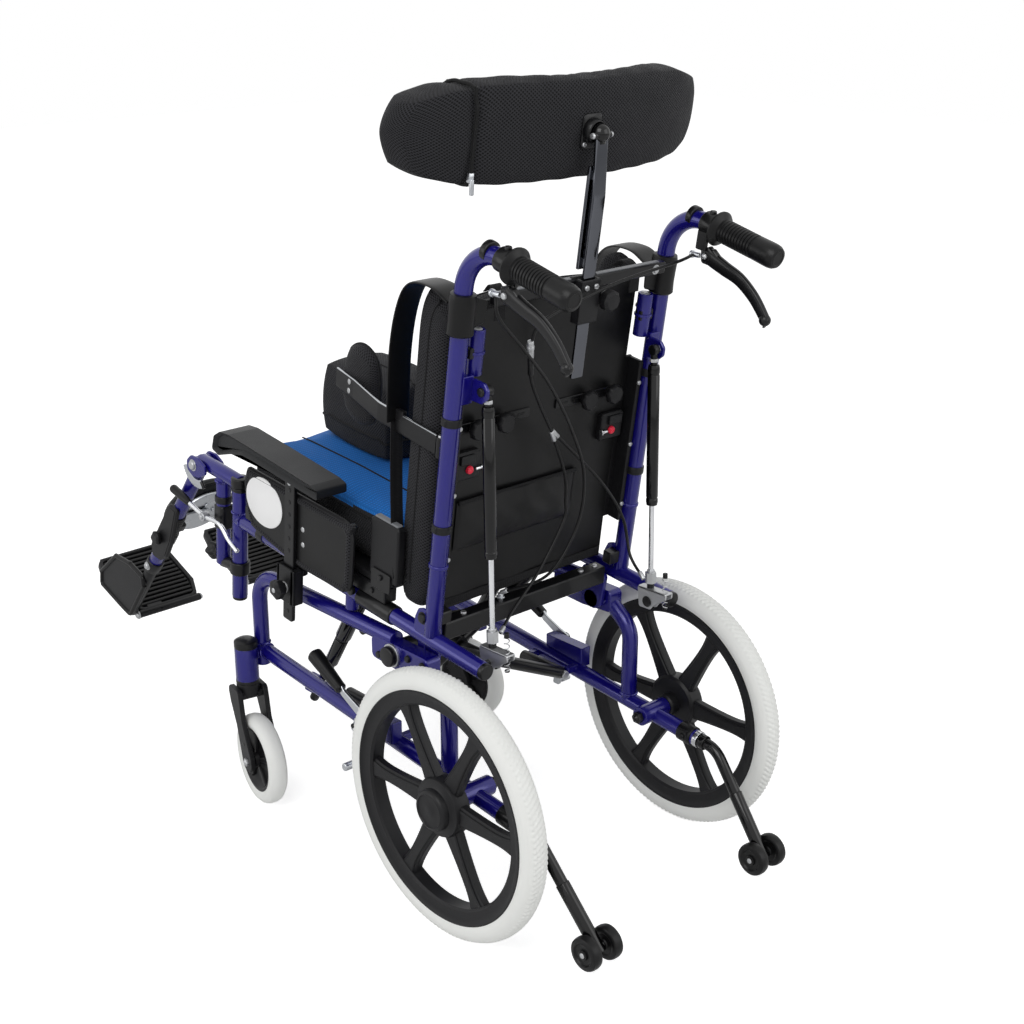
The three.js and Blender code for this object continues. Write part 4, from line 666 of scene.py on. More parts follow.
def looked_up(colour):
    """A colour, or the user's colour of that name."""
    return tuple(getattr(looks(), colour)) if isinstance(colour, str) else colour


def material(name):
    """The material of that finish, made on first use."""
    if name not in bpy.data.materials:
        made = bpy.data.materials.new(name)
        made.use_nodes = True
        values = RIBBED if name in RIBBED else MESHES if name in MESHES else None
        build = plain_material if values is None else ribbed_material if values is RIBBED else mesh_material
        fill(made.node_tree, made.node_tree.nodes["Principled BSDF"], build(made.node_tree, name))
    return bpy.data.materials[name]


def plain_material(tree, name):
    """Paint, metal, plastic or rubber: a base colour with faint patches, fine grain and a coat."""
    colour, rough, metal, coat, scale, bump, patches = PLAIN[name]
    grain = shared(tree, "Fine grain", Scale=float(scale), Bump=bump, Patches=patches)
    patch = math_node(tree, "SUBTRACT", 1.0, grain["Value"], clamp=True)
    return {
        "Base Color": tinted(tree, looked_up(colour), patch, 0.3),
        "Roughness": math_node(tree, "MULTIPLY_ADD", grain["Rough"], 0.5, rough, clamp=True),
        "Normal": grain["Normal"], "Metallic": metal, "Coat Weight": coat, "Coat Roughness": 0.05,
        "Specular IOR Level": 0.5 if metal or coat > 0.3 else 0.25,
    }


def mesh_material(tree, name):
    """Open spacer cloth, black or blue: painted shade in the holes between threads, with sheen."""
    colour, share = MESHES[name]
    cloth = shared(tree, "Open mesh", Pitch=sizes().mesh_pitch * share, Stretch=1.35, Hole_size=0.34)
    return {
        # Painted shade: the colour falls to a tenth of itself in the holes, where the bump is low
        "Base Color": tinted(tree, looked_up(colour), cloth["Hole"], 0.1),
        "Normal": bump_normal(tree, cloth["Height"], 0.0011, 0.9),
        "Roughness": math_node(tree, "MULTIPLY", cloth["Thread"], 0.72),
        "Specular IOR Level": 0.12, "Sheen Weight": 0.06, "Sheen Roughness": 0.4,
    }


def ribbed_material(tree, name):
    """Webbing, zip tape or the seat's fine ribs, with painted shade in the grooves."""
    colour, pitch, darker = RIBBED[name]
    weave = shared(tree, "Ribs", Pitch=pitch)["Weave"]
    return {
        # Painted shade: the colour darkens in the grooves, where the weave that is also the bump's height is low
        "Base Color": tinted(tree, looked_up(colour), math_node(tree, "SUBTRACT", 1.0, weave), darker),
        "Normal": bump_normal(tree, weave, 0.0005, 0.7),
        "Roughness": 0.68, "Specular IOR Level": 0.15, "Sheen Weight": 0.05,
    }


# Base frame

# Tube that a weld bead runs round
TUBE = 25.4
# Centre plane of the left side frame, its front post and rear post, its upper tube
BASE_X, POST_Y, REAR_POST_Y, TOP_Z = 188.0, -528, -53, 385
# Rear axle above the floor; caster stem from the middle; tilt pivot and the centre of its lock (y, z)
AXLE_Z, STEM_X = 203, 220
TILT_PIVOT, TILT_LOCK = (-120, 365), (-164, 366)
# Both arms of the X brace, rear one first: their y, then the heights of their ends and how far out these are
BRACE_Y, BRACE_LOW, BRACE_HIGH, LOW_X, HIGH_X = (-170, -255), 222, 372.3, 150, 165
# Pivot of the wheel lock
LOCK_PIVOT = (212.5, -225, 248)
PIVOT_PLATE = [(-215, 383), (-215, 347), (-150, 343), (-85, 347), (-85, 383)]
LOCK_PLATE = [(-195, 384), (-186, 350), (-152, 346), (-140, 384)]
STRUT_PLATE = [(-414, 240), (-414, 218), (-392, 218), (-392, 240)]
STEM_CAP = [(0, 0), (19.4, 0), (19.2, 3), (14, 6.4), (6, 7.4), (0, 7.4)]


def lower_z(y):
    """Height of the lower tube: z = 250 - 0.0955 (y + 528)."""
    return 250 - 60 / 628 * (y + 528)


def weld(place, direction, diameter=TUBE, bead=3.4):
    """A rough weld bead: a ring of radius r and small radius b (1 + 0.25 cos 34 a) round a tube."""
    a = np.linspace(0, 2 * np.pi, 68, endpoint=False)[:, None]
    t = np.linspace(0, 2 * np.pi, 8, endpoint=False)[None]
    small = bead / 2 * (1 + 0.25 * np.cos(34 * a))
    r = diameter / 2 + small * np.cos(t)
    rings = np.stack([r * np.cos(a), r * np.sin(a), small * np.sin(t) + 0 * a], 2)
    verts, faces, corners = grid(rings, wrap=True, loop=True)
    return moved(verts, across(direction, place)), [f[:, ::-1] for f in faces], [c[:, ::-1] for c in corners]


def make_base_frame():
    """Bent tubes, caster housings, pivot plates, lock plates and axle sleeves of both sides."""
    x, d = BASE_X, sizes().tube / MM
    piece = Piece()
    piece.add("paint",
        tube([(x, POST_Y, 224), (x, POST_Y, TOP_Z), (x, -170, TOP_Z)], d, 48, edge=1),
        tube([(x, -108, 368), (x, REAR_POST_Y, 328), (x, REAR_POST_Y, lower_z(REAR_POST_Y))], d, 40, edge=1),
        rod((x, POST_Y, 250), (x, 100, 190), d, edge=1),
        side_plate(PIVOT_PLATE, (175, 201), 1.5, 12),
        bar((173.2, 186), *TILT_PIVOT, 24),
        bar(STEM_X, POST_Y, (200, 262), 38, edge=1),
        block((190, 220), (-537, -519), (238, 262), 4, 1.5),
        block((188, 208.9), (-246, -161), (lower_z(LOCK_PIVOT[1]), lower_z(LOCK_PIVOT[1]) + 34), 3),
        block((168.6, 188), (-414, -392), (216, 242), 4),
        side_plate(STRUT_PLATE, (167.3, 171.3), 0.8, 5),
        bar((158, 213), 0, AXLE_Z, 30),
        weld((x, REAR_POST_Y, lower_z(REAR_POST_Y) + 12), Z),
        weld((x, POST_Y, 262), Z),
        weld((x, -515, 249), (0, 1, -0.1)),
        weld((204, POST_Y, 250), X, 22),
        weld((x, -100, 362), (0, 0.8, -0.6)),
    )
    for y in BRACE_Y:
        piece.add("paint", block((160.3, x), (y - 5.5, y + 5.5), (216.5, 227.5), 3))
        piece.add("black metal", bar((172.3, x), y, BRACE_HIGH, 16))
    piece.add("paint", side_plate(LOCK_PLATE, (196, 202), 1, 6))
    piece.add("zinc", bar((200, 205.5), *TILT_LOCK, 36))
    piece.add("black metal",
        bar((204, 214), *TILT_LOCK, 31, edge=2),
        bar(STEM_X, POST_Y, (262, 270.4), 38.5, edge=1),
        lathe(STEM_CAP, placed(STEM_X, POST_Y, 270)),
        bar(STEM_X, POST_Y, (199.8, 206), 38.6),
        rod((x, 62, lower_z(62)), (x, 88, lower_z(88)), 31, edge=1),
        block((172, 176), (66, 84), (188, 204), 3),
        *bolt((173, 75, 193), -X, 10, 4),
        *nut((156, 0, AXLE_Z), -X, 19, 8),
    )
    piece.add("chrome", rod((x, 92, lower_z(92)), (x, 100.2, lower_z(100.2)), 26.4, edge=0.5))
    piece.add("alloy", bar((152, 160), 0, AXLE_Z, 9))
    piece.add("black metal", *bolts([(208.6, -234.5, 244), (208.6, -197, 242)], X, 13, 5, 16),
              *bolts([(201, -196, 356), (201, -128, 372), (201, -95, 372)], X, 11, 4))
    both("frame_tubes", piece, "base", "blue_paint", ["base_frame_{}"])


def make_cross_brace():
    """Two black arms that cross on one shaft, with feet along the lower tubes."""
    cross_z = BRACE_LOW + (BRACE_HIGH - BRACE_LOW) * LOW_X / (LOW_X + HIGH_X)
    for name, side, y, node in (
            ("brace_rear", -1, BRACE_Y[0], "cross_brace_a"), ("brace_front", 1, BRACE_Y[1], "cross_brace_b")):
        piece = Piece()
        low, high = (side * LOW_X, y, BRACE_LOW), (-side * HIGH_X, y, BRACE_HIGH)
        piece.add("black metal",
            rod(low, high, 20, edge=1),
            rod(low, (low[0], y - 90, BRACE_LOW), 20, edge=1.5),
            bar((-side * 158, -side * 172), y, BRACE_HIGH, 22),
            bar(0, (y - 12, y + 12), cross_z, 26))
        piece.add("zinc", bar(low[0], (y - 12, y + 13), BRACE_LOW, 12.5, edge=1))
        if side < 0:
            piece.add("black metal", bar(0, (y, -244.7), cross_z, 16))
        piece.object(name, "base", "black_metal", [node])


# Rear wheels

# A wheel's own frame has its axle along Z, which here points out of the chair
WHEEL = CHAIR @ placed(243.6, 0, AXLE_Z)
AXLE = WHEEL @ across(X)
SPOKES = 6
# Half outlines (radius, along the axle) of the rim and of the hub
RIM = [(172, -8), (172, 8), (176.2, 16.6), (173, 17), (171, 15), (163, 13.5), (154, 13), (150.6, 10), (150.6, -10),
       (154, -13), (163, -13.5), (171, -15), (173, -17), (176.2, -16.6)]
HUB = [(0, -29.4), (15, -29.4), (17.5, -27), (18, -14), (41, -13.5), (45, -10), (45, 10), (43, 14), (34, 15.5),
       (31.5, 17.5), (31, 25), (28, 28.6), (25, 29.4), (24, 27.8), (10, 27.4), (8, 28), (0, 28.2)]


def tyre_surface(radius=183.6, half=19.4, around=1050, ring=64):
    """A torus with a tread: r = R + (h + k) cos t, x = (h + k) sin t.

    k is 1 where cos(N a + turn of the row) rises above 0, in five rows of 0.3 rad round the crown, else 0.
    """
    a = np.linspace(0, 2 * np.pi, around, endpoint=False)[:, None]
    u = np.linspace(-1, 1, ring, endpoint=False)[None]
    t = np.pi * np.sign(u) * np.abs(u) ** 1.6
    row = np.round(t / 0.3)
    inside = np.clip((0.78 - np.abs(t)) * 12, 0, 1)
    groove = np.clip(np.abs(np.cos(np.pi * t / 0.3)) * 2.2, 0, 1)
    wave = np.cos(sizes().tread * a + row * np.pi + 6 * (t - 0.3 * row))
    k = inside * groove * np.clip(1.5 * wave + 0.6, 0, 1)
    rib = 0.4 * np.exp(-(((np.abs(t) - 1.32) / 0.05) ** 2)) + 0.35 * np.exp(-(((np.abs(t) - 1.6) / 0.05) ** 2))
    h = half - 0.7 + 1.1 * k + rib
    r = radius + h * np.cos(t)
    points = np.stack([r * np.cos(a), r * np.sin(a), h * np.sin(t) * 1.02 + 0 * a], 2)
    return grid(points, wrap=True, loop=True)


def spoke_outline(hub=30.0, rim=158.0, count=14):
    """Half width w(r) = 10.5 + 7 (1 - s)2 + 9 s^7 with s from 0 at the hub to 1 at the rim."""
    s = np.linspace(0, 1, count)
    width = 10.5 + 7 * (1 - s) ** 2 + 9 * s**7
    r = hub + (rim - hub) * s
    return np.vstack([np.column_stack([r, -width]), np.column_stack([r, width])[::-1]])


def make_rear_wheels():
    """Rims with spokes and hubs, and pale treaded tyres."""
    rim = Piece(AXLE)
    rim.add("moulded black", lathe(RIM, segments=120, closed=True))
    rim.add("moulded black", lathe(HUB, segments=72))
    for k in range(SPOKES):
        turn = AXLE @ placed(0, 0, 0, 0, 360 / SPOKES * k)
        rim.add("moulded black", plate(spoke_outline(), -7, 7, 2.2), matrix=turn)
        rim.add("moulded black", plate(inset(spoke_outline(34, 156), 4.2), -9.5, 9.5, 1.6), matrix=turn)
    rim.add("chrome", bar(0, 0, (-42, -29), 12), bar(0, 0, (-31.5, -29.3), 24))
    both("wheel_rim", rim, "rear_wheel_{}", "black_plastic", ["rear_rim_{}"])
    tyre = Piece(AXLE)
    tyre.add("pale tyre", tyre_surface())
    both("wheel_tyre", tyre, "rear_wheel_{}", "pale_tyre", ["rear_tyre_{}"], smooth_all=True)


# Casters

# The wheel trails behind the stem; half outlines (radius, along the axle) of its tyre and disc; outline of a fork leg
TRAIL, CASTER_RADIUS = 40, 76
CASTER_AXLE = CASTER @ placed(0, TRAIL, CASTER_RADIUS) @ across(X)
TYRE = [(51, 0), (52.5, 11), (55, 13.6), (62, 15.6), (69, 14), (74, 9.5), (75.9, 3.5), (75.9, -3.5), (74, -9.5),
        (69, -14), (62, -15.6), (55, -13.6), (52.5, -11)]
DISC = [(0, -18.4), (7, -18.4), (12, -15), (13, -8), (20, -5.5), (40, -4.5), (47, -9), (50, -12.4), (54, -12.8),
        (54, 12.8), (50, 12.4), (47, 9), (40, 4.5), (20, 5.5), (13, 8), (12, 15), (7, 18.4), (0, 18.4)]
DISC_RIBS, RIB = 5, [(10, -3.4), (48, -5), (48, 5), (10, 3.4)]
FORK_LEG = [(-15, 184), (-14, 190), (14, 190), (17, 178), (24, 140), (52, 84), (53, 72), (46, 63), (36, 63),
            (28, 70), (9, 132), (-10, 168)]


def make_casters():
    """Trailing forks, and wheels with a dished ribbed disc inside a pale tyre."""
    fork = Piece(CASTER)
    fork.add("moulded black", bar(0, 0, (179, 199.6), 38, edge=1.5), block((-26, 26), (-15, 15), (174, 186), 7, 3))
    leg = rounded(FORK_LEG, 6)
    for side in (-1, 1):
        low, high = sorted((side * 19.2, side * 26))
        fork.add("moulded black", side_plate(leg, (low, high), 2),
                 side_plate(inset(leg, 4.5), (low - 0.8, high + 0.8), 1))
        fork.add("zinc", *nut((side * 26, TRAIL, CASTER_RADIUS), side * X, 14, 4.4))
        fork.add("black metal", *bolt((side * 26 * 0.99, 30, 104), side * X, 7, 1.6))
    both("caster_fork_body", fork, "caster_fork_{}", "black_metal", ["caster_fork_{}"])
    wheel = Piece(CASTER_AXLE)
    wheel.add("pale tyre", lathe(TYRE, segments=96, closed=True))
    wheel.add("moulded black", lathe(DISC, segments=72))
    for k in range(DISC_RIBS):
        wheel.add("moulded black", plate(rounded(RIB, 3), -10.5, 10.5, 1.4),
                  matrix=CASTER_AXLE @ placed(0, 0, 0, 0, 360 / DISC_RIBS * k + 20))
    both("caster_wheel_body", wheel, "caster_wheel_{}", "pale_tyre", ["caster_wheel_{}"])


# Anti tip bars

ROLLER_AXLE = (176, 240, 57.0)
# Half outlines (radius, along the axle) of one of the two rollers, and of the push button
ROLLER = [(0, 10.4), (7, 10.4), (8, 12.5), (15, 13), (17, 11.6), (21, 11.4), (24, 13.4), (25, 17), (25, 23),
          (24, 26.6), (21, 28.6), (17, 28.8), (15, 26.4), (8, 26), (7.4, 28.4), (6, 29), (0, 29)]
PUSH_BUTTON = [(0, -2), (3.2, -2), (3.2, 1.4), (2, 2.6), (0, 3)]


def make_anti_tips():
    """Gloss black bent tubes that step out to a wider lower tube, each with two small wheels."""
    x = BASE_X
    start, bend = np.array((x, 101.5, lower_z(101.5))), np.array((x, 132, lower_z(132)))
    end = np.array(ROLLER_AXLE)
    step = bend + (end - bend) * 0.42
    along = unit(end - bend)
    piece = Piece()
    piece.add("black gloss",
        tube([(x, 56, lower_z(56)), bend, step + along * 20], 17.6, 42, edge=0.8),
        rod(step, end + along * 8, 20.2, edge=1.2),
        rod(start, (x, 112, lower_z(112)), 23, edge=1))
    button = step + along * 36
    out = unit(np.cross(along, X))
    piece.add("chrome", lathe(PUSH_BUTTON, across(out, button + out * 9.6), 20))
    piece.add("black metal", *bolt(button - along * 14 + out * 9.6, out, 5, 1.2))
    both("anti_tip_bar", piece, "anti_tip_tube_{}", "black_metal", ["anti_tip_tube_{}"])
    wheels = Piece(CHAIR @ placed(*ROLLER_AXLE) @ across(X))
    for side in (-1, 1):
        wheels.add("black rubber", lathe([(r, side * h) for r, h in ROLLER], segments=48))
        wheels.add("zinc", *bolt((0, 0, side * 28.6), side * Z, 8, 1.6))
    wheels.add("zinc", bar(0, 0, (-11, 11), 8))
    both("anti_tip_rollers", wheels, "anti_tip_wheels_{}", "black_rubber", ["anti_tip_wheels_{}"])


# Wheel locks, round their pivot: outlines of the lever, of the arm that carries the shoe and of the link; the shoe

LOCK_LEVER = [(-6, -9), (8, -7), (9, 6), (-14, 13), (-44, 25), (-52, 33), (-60, 28), (-52, 16), (-14, -3)]
LOCK_ARM = [(-8, 2), (8, 2), (-11, -92), (-26, -92)]
LOCK_LINK = [(-26, -30), (-12, -36), (-4, -12), (-14, -6)]
SHOE = (-18, -86)
LOCK_GRIP = [(0, -52, 24), (0, -66, 31), (0, -96, 47), (0, -116, 58), (0, -124, 61)]


def make_wheel_locks():
    """Flat silver levers with black grips, their plates, links and tyre shoes."""
    piece = Piece(CHAIR @ placed(*LOCK_PIVOT))
    piece.add("alloy",
        side_plate(rounded(LOCK_LEVER, 4), (-2.6, 2.6), 0.8),
        side_plate(LOCK_ARM, (-2.8, 2.8), 0.9, 6),
        bar((-2.5, 12), *SHOE, 9),
        side_plate(LOCK_LINK, (2.6, 6), 0.7, 4))
    piece.add("alloy", bar((9, 26.5), *SHOE, 12.6, edge=1.4))
    path = smooth(LOCK_GRIP, 16)
    bulge = np.interp(np.linspace(0, 1, 16), [0, 0.2, 0.6, 0.85, 1], [0.84, 0.86, 1.12, 1.16, 0.8])
    piece.add("black rubber", sweep(path, section(19.4, 21.5, 30, 2.3), scale=bulge, edge=5))
    piece.add("black metal", *bolt((2.8, 0, 0), X, 13, 4.4, 17), *bolt((6, -18, -22), X, 8, 3))
    both("wheel_lock_lever", piece, "wheel_lock_{}", "black_metal", ["wheel_lock_{}"])


# Tilt struts

STRUT_FOOT = np.array((160, -403, 225.0))
# Both eyes of a strut turn round the same line across the chair
EYE = (153.2, 166.8)


def make_tilt_struts():
    """Chrome rods on the base frame that slide into black cylinders under the seat rails."""
    head = moved(np.array([[STRUT_FOOT[0], STRUT_Y, RAIL_Z]]), np.linalg.inv(CHAIR) @ SEAT)[0]
    along = unit(head - STRUT_FOOT)
    low = Piece()
    low.add("chrome", rod(STRUT_FOOT - along * 30, head - along * 20, 11.6))
    low.add("zinc", bar(EYE, *STRUT_FOOT[1:], 21.6, edge=1.2))
    low.add("black metal", rod(STRUT_FOOT - along * 46, STRUT_FOOT - along * 28, 15, edge=2),
            rod(STRUT_FOOT + along * 12, STRUT_FOOT + along * 20, 17, sides=6))
    low.add("black gloss", rod(STRUT_FOOT + along * 52, STRUT_FOOT + along * 112, 22, edge=1.5))
    coil = np.linspace(0, 1, 260)
    wire = STRUT_FOOT + along * (21 + 30 * coil[:, None])
    side = np.cross(along, X)
    turn = 2 * np.pi * 9 * coil[:, None]
    wire = wire + 7.6 * (np.cos(turn) * X + np.sin(turn) * side)
    low.add("zinc", sweep(wire, section(1.6, sides=8), up=along))
    both("tilt_strut_rod", low, "tilt_rod_{}", "chrome", ["tilt_rod_{}"])
    high = Piece()
    high.add("black gloss", rod(head - along * 128, head - along * 4, 25.6, edge=1.6))
    high.add("black metal", bar(EYE, *head[1:], 21.6, edge=1.2),
             rod(head - along * 133, head - along * 124, 23, edge=2))
    both("tilt_strut_cylinder", high, "tilt_cylinder_{}", "black_metal", ["tilt_cylinder_{}"])


# Seat

# Centre lines of the left seat rail and of its front tube, in the seat's own place
RAIL_X, RAIL_Z, FRONT_Y = 190, 53, -457
# Recline hinge (y, z), and where the tilt strut and the gas spring meet the rail
HINGE = (21, 87)
STRUT_Y, SPRING_Y = -158, 127
# Outlines (y, z) of the cheeks round the hinge and of the lug on the tilt pivot
CLEVIS = [(2, 60), (4, 84), (10, 98), (21, 103), (32, 98), (38, 84), (40, 60)]
TILT_LUG = [(-26, 52), (-20, -9), (-8, -15), (8, -15), (22, -6), (26, 52)]


def make_seat_rails():
    """Blue rails with front tubes, rear caps, recline cheeks, tilt lugs and lock plates."""
    d = sizes().tube / MM
    piece = Piece(SEAT)
    piece.add("paint",
        bar(RAIL_X, (FRONT_Y, 140), RAIL_Z, d, edge=1),
        tube([(RAIL_X, FRONT_Y, 104), (RAIL_X, FRONT_Y, -86)], d, edge=1),
        bar(177.5, 0, (6, 40), 3),
        side_plate(TILT_LUG, (165.2, 172.8), 1.2, 7),
        bar((165.2, 173), 0, 0, 30),
        bar(RAIL_X, -157, (22, 50), 21, edge=1),
        weld((RAIL_X, FRONT_Y, 66), Z),
        weld((RAIL_X, FRONT_Y + 12, RAIL_Z), Y))
    piece.add("paint", *[side_plate(CLEVIS, x, 0.8, 6) for x in ((180.8, 184.6), (199.4, 203.2))])
    piece.add("paint", side_plate([(-330, 56), (-322, 84), (-292, 84), (-284, 56)], (186, 192), 1, 7))
    piece.add("black metal",
        *[bar(RAIL_X, y, RAIL_Z, diameter, edge=edge) for y, diameter, edge in (
            ((-134, -54), 30, 2), ((138, 148), 24.6, 2.5))],
        bar(RAIL_X, FRONT_Y, (103, 110), 26, edge=1.5),
        bar(RAIL_X, FRONT_Y, (-84, -91), 24.6, edge=2),
        bar(RAIL_X, (-396, -378), RAIL_Z, 27.6, edge=1),
        *bolt((203, *HINGE), X, 15, 4.5, 19),
        *bolt((204, -292, 70), X, 10, 4),
        bar((192, 204), -307, 70, 8))
    piece.add("zinc", *nut((180.8, *HINGE), -X, 15, 4.6))
    piece.add("black metal", bar((153, 178), SPRING_Y, RAIL_Z, 10, edge=1), bar((151.6, 153.6), SPRING_Y, RAIL_Z, 17))
    piece.add("black metal", bar((168, 180), STRUT_Y, RAIL_Z, 12), *bolt((152.4, STRUT_Y, RAIL_Z), -X, 12, 2))
    both("seat_rail_tubes", piece, "seat", "blue_paint", ["seat_rail_{}"])


# Seat board in the seat's own place: its heights, and the rear bar (y) that carries the tilt cable's adjuster
BOARD_LEVELS, REAR_BAR_Y = (91.3, 102.6), 15
ADJUSTER_TOP = (48, REAR_BAR_Y, 79)


def make_seat_pan():
    """Board with side beams and ribs, the rear bar, hip blocks and the tilt cable's adjuster."""
    piece = Piece(SEAT)
    piece.add("moulded black", block((-197, 197), (-438, -64), BOARD_LEVELS, 18, 2.4))
    for side in (-1, 1):
        piece.add("black metal", block((side * 176, side * 199.5), (-430, -70), (67, 91), 3, 2))
        piece.add("black metal", *bolts([(side * 199.3, y, 79) for y in (-400, -250, -100)], side * X, 9, 3))
        piece.add("zinc", *bolts([(side * 186, y, BOARD_LEVELS[1] - 0.2) for y in (-410, -90)], Z, 11, 2.6, 15))
        piece.add("moulded black", block((side * 187, side * 203), (-104, -41), (107, 200), 9, 4))
        piece.add("grey plastic", block((side * 189.5, side * 200.5), (-99, -46), (199, 202.4), 6, 1.4))
        strap_plate = [(-96, 92), (-96, 122), (-52, 122), (-52, 92)]
        piece.add("black metal", side_plate(strap_plate, (side * 203, side * 206), 0.7, 5))
        piece.add("black metal", *bolt((side * 206, -74, 112), side * X, 9, 3))
    piece.add("black metal", block((-164.3, 164.3), (REAR_BAR_Y - 11.6, REAR_BAR_Y + 11.6), (38.4, 67.6), 3, 2))
    piece.add("zinc", *bolts([(x, REAR_BAR_Y, 67.4) for x in (-150, -120, 120, 150)], Z, 9, 3))
    piece.add("alloy", bar(*ADJUSTER_TOP[:2], (66, ADJUSTER_TOP[2]), 9, edge=1),
              bar(*ADJUSTER_TOP[:2], (71, 74), 13, sides=6))
    for y in range(-400, -99, 75):
        piece.add("moulded black", block((-170, 170), (y - 5, y + 5), (85, 92), 3, 1.5))
    piece.object("seat_board", "seat", "black_metal", ["seat_pan"])


# Settings of the cover's cloth, in Blender's own units
COVER_CLOTH = {
    "quality": 4, "mass": 0.25, "tension_stiffness": 18, "compression_stiffness": 18, "shear_stiffness": 8,
    "bending_stiffness": 1.2, "use_pressure": True, "uniform_pressure_force": 4, "vertex_group_mass": "pinned",
}
COVER_FRAMES = 20
PINNED_SHARE = 0.12


def plumped(name, size, counts, draw, cap, share=0.97, shape=None):
    """A cushion's cover blown up by cloth simulation; every point stays within the cap of where it was sewn.

    Points within a share of the height from the base are pinned. Returns the simulated surface in millimetres.
    """
    verts, faces, corners = pillow([s * share for s in size], counts, draw)
    if shape is not None:
        verts = shape(verts)
    mesh = bpy.data.meshes.new(name + "_cover")
    mesh.from_pydata((verts * MM).tolist(), [], [tuple(f) for block_faces in faces for f in block_faces])
    mesh.update()
    obj = linked(name + "_cover", mesh)
    low = verts[:, 2].min()
    pinned = np.nonzero(verts[:, 2] < low + PINNED_SHARE * (verts[:, 2].max() - low))[0]
    obj.vertex_groups.new(name="pinned").add(pinned.tolist(), 1.0, "REPLACE")
    cloth = obj.modifiers.new("cloth", "CLOTH")
    for setting, value in COVER_CLOTH.items():
        setattr(cloth.settings, setting, value)
    cloth.settings.effector_weights.gravity = 0
    cloth.collision_settings.use_collision = False
    cloth.point_cache.frame_start, cloth.point_cache.frame_end = 1, COVER_FRAMES
    for step in range(1, COVER_FRAMES + 1):
        bpy.context.scene.frame_set(step)
    held = obj.evaluated_get(bpy.context.evaluated_depsgraph_get()).to_mesh()
    blown = np.empty(len(held.vertices) * 3)
    held.vertices.foreach_get("co", blown)
    bpy.data.objects.remove(obj)
    bpy.data.meshes.remove(mesh)
    bpy.context.scene.frame_set(1)
    drift = blown.reshape(-1, 3) / MM - verts
    far = np.linalg.norm(drift, axis=1, keepdims=True)
    return verts + drift * np.minimum(1, cap / np.maximum(far, 1e-9)), faces, corners


def seam(points, diameter=4.4, count=260, up=Z):
    """A piped edge: a thin round cord through the points, closed on itself."""
    closed = smooth(np.vstack([points, points[:1]]), count)
    return sweep(closed, section(diameter, sides=10), up=up)


def outline_at(verts, height, axis=2, count=72):
    """The widest point of a cover near one height in each of `count` directions about its axis."""
    across_axes = [k for k in range(3) if k != axis]
    flat = verts[:, across_axes]
    near = np.abs(verts[:, axis] - height) < max(6.0, np.ptp(verts[:, axis]) * 0.07)
    angles = np.arctan2(flat[:, 1] / np.ptp(flat[:, 1]), flat[:, 0] / np.ptp(flat[:, 0]))
    ring = []
    for a in np.linspace(-np.pi, np.pi, count, endpoint=False):
        turn = np.abs(np.angle(np.exp(1j * (angles - a))))
        chosen = np.nonzero(near & (turn < 0.16))[0]
        if len(chosen):
            ring.append(verts[chosen[np.argmax(np.linalg.norm(flat[chosen], axis=1))]])
    return np.array(ring)


def make_seat_cushion():
    """Blue ribbed top over black mesh sides, blown up by cloth simulation, with piping round both edges."""
    place = SEAT @ placed(0, -259.5, 145.3)
    verts, faces, corners = plumped("seat_cushion", (372, 395, 84), (44, 46, 12), 0.16, cap=6)
    # Shallow saddle for the thighs: z drops by 6 (1 - cos(2 pi x / w)) / 2 towards the front
    top = verts[:, 2] > 0
    verts[top, 2] -= 5 * (1 - np.cos(2 * np.pi * verts[top, 0] / 186)) / 2 * np.clip(-verts[top, 1] / 197, 0, 1)
    piece = Piece(place)
    rows, uv = np.vstack(faces), np.vstack(corners)
    middle = verts[rows].mean(axis=1)
    up = middle[:, 2] > 27
    piece.add("seat ribs", (verts, [rows[up]], [uv[up]]))
    piece.add("black mesh", (verts, [rows[~up]], [uv[~up]]))
    for height in (27, -30):
        ring = outline_at(verts, height)
        piece.add("zip tape" if height > 0 else "webbing", seam(ring, 4.4))
    for x in (-93, 0, 93):
        line = np.array([(x, y, verts[(np.abs(verts[:, 0] - x) < 12) & (np.abs(verts[:, 1] - y) < 12), 2].max() + 0.4)
                         for y in np.linspace(-165, 165, 16)])
        piece.add("zip tape", sweep(smooth(line, 60), section(3.2, 2.0, 10), up=Z))
    piece.object("seat_cushion_cover", "seat", "blue_mesh", ["seat_cushion"], smooth_all=True)


def make_pommel():
    """A rounded block of black mesh cloth between the knees, with a seam round it and a blue tab."""
    place = SEAT @ placed(0, -335, 253.1)
    verts, faces, corners = plumped("pommel", (130, 185, 128), (22, 28, 22), 0.26, cap=5)
    piece = Piece(place)
    piece.add("black mesh", (verts, faces, corners))
    piece.add("webbing", seam(outline_at(verts, 0, axis=0), 4.2, up=X), seam(outline_at(verts, -34), 4.0))
    piece.object("pommel_cover", "seat", "black_mesh", ["pommel"], smooth_all=True)


# Arms

# Arm post, its socket and its screw holes, in the seat's own place
ARM_X, ARM_Y, ARM_Z = (222.6, 229.4), -268, (-36, 209)
ARM_HOLES = (-20, 84, 104, 124, 144, 164, 184)
SOCKET_Z = (-3, 57)
# Side panel: its outline as shares of a box (y, z)
SKIRT_LOW, SKIRT_SPAN = (-402, 58), (280, 122)
SKIRT = [(0.03, 0.97), (0, 0.74), (0.03, 0.36), (0.08, 0.16), (0.23, 0.09), (0.53, 0), (0.99, 0.04), (1, 1)]
DISC_PLACE, DISC_FLAT = (221.6, -343.2, 133.6), 0.83
SOCKET_KNOB = [(0, 0), (8, 0), (9, 6), (14, 8), (15, 11), (14.6, 18), (11, 20.6), (0, 21)]
# Arm pad: its outline as shares of a box (y, z), the front curled down, and its half width
PAD_LOW, PAD_SPAN, PAD_HALF = (-447, 189), (275, 44), 27
PAD = [(0, 0.1), (0.07, 0), (0.19, 0.3), (0.3, 0.5), (0.4, 0.52), (1, 0.42), (1, 0.75), (0.94, 0.84),
       (0.55, 0.93), (0.17, 1), (0.08, 0.92), (0.02, 0.65)]


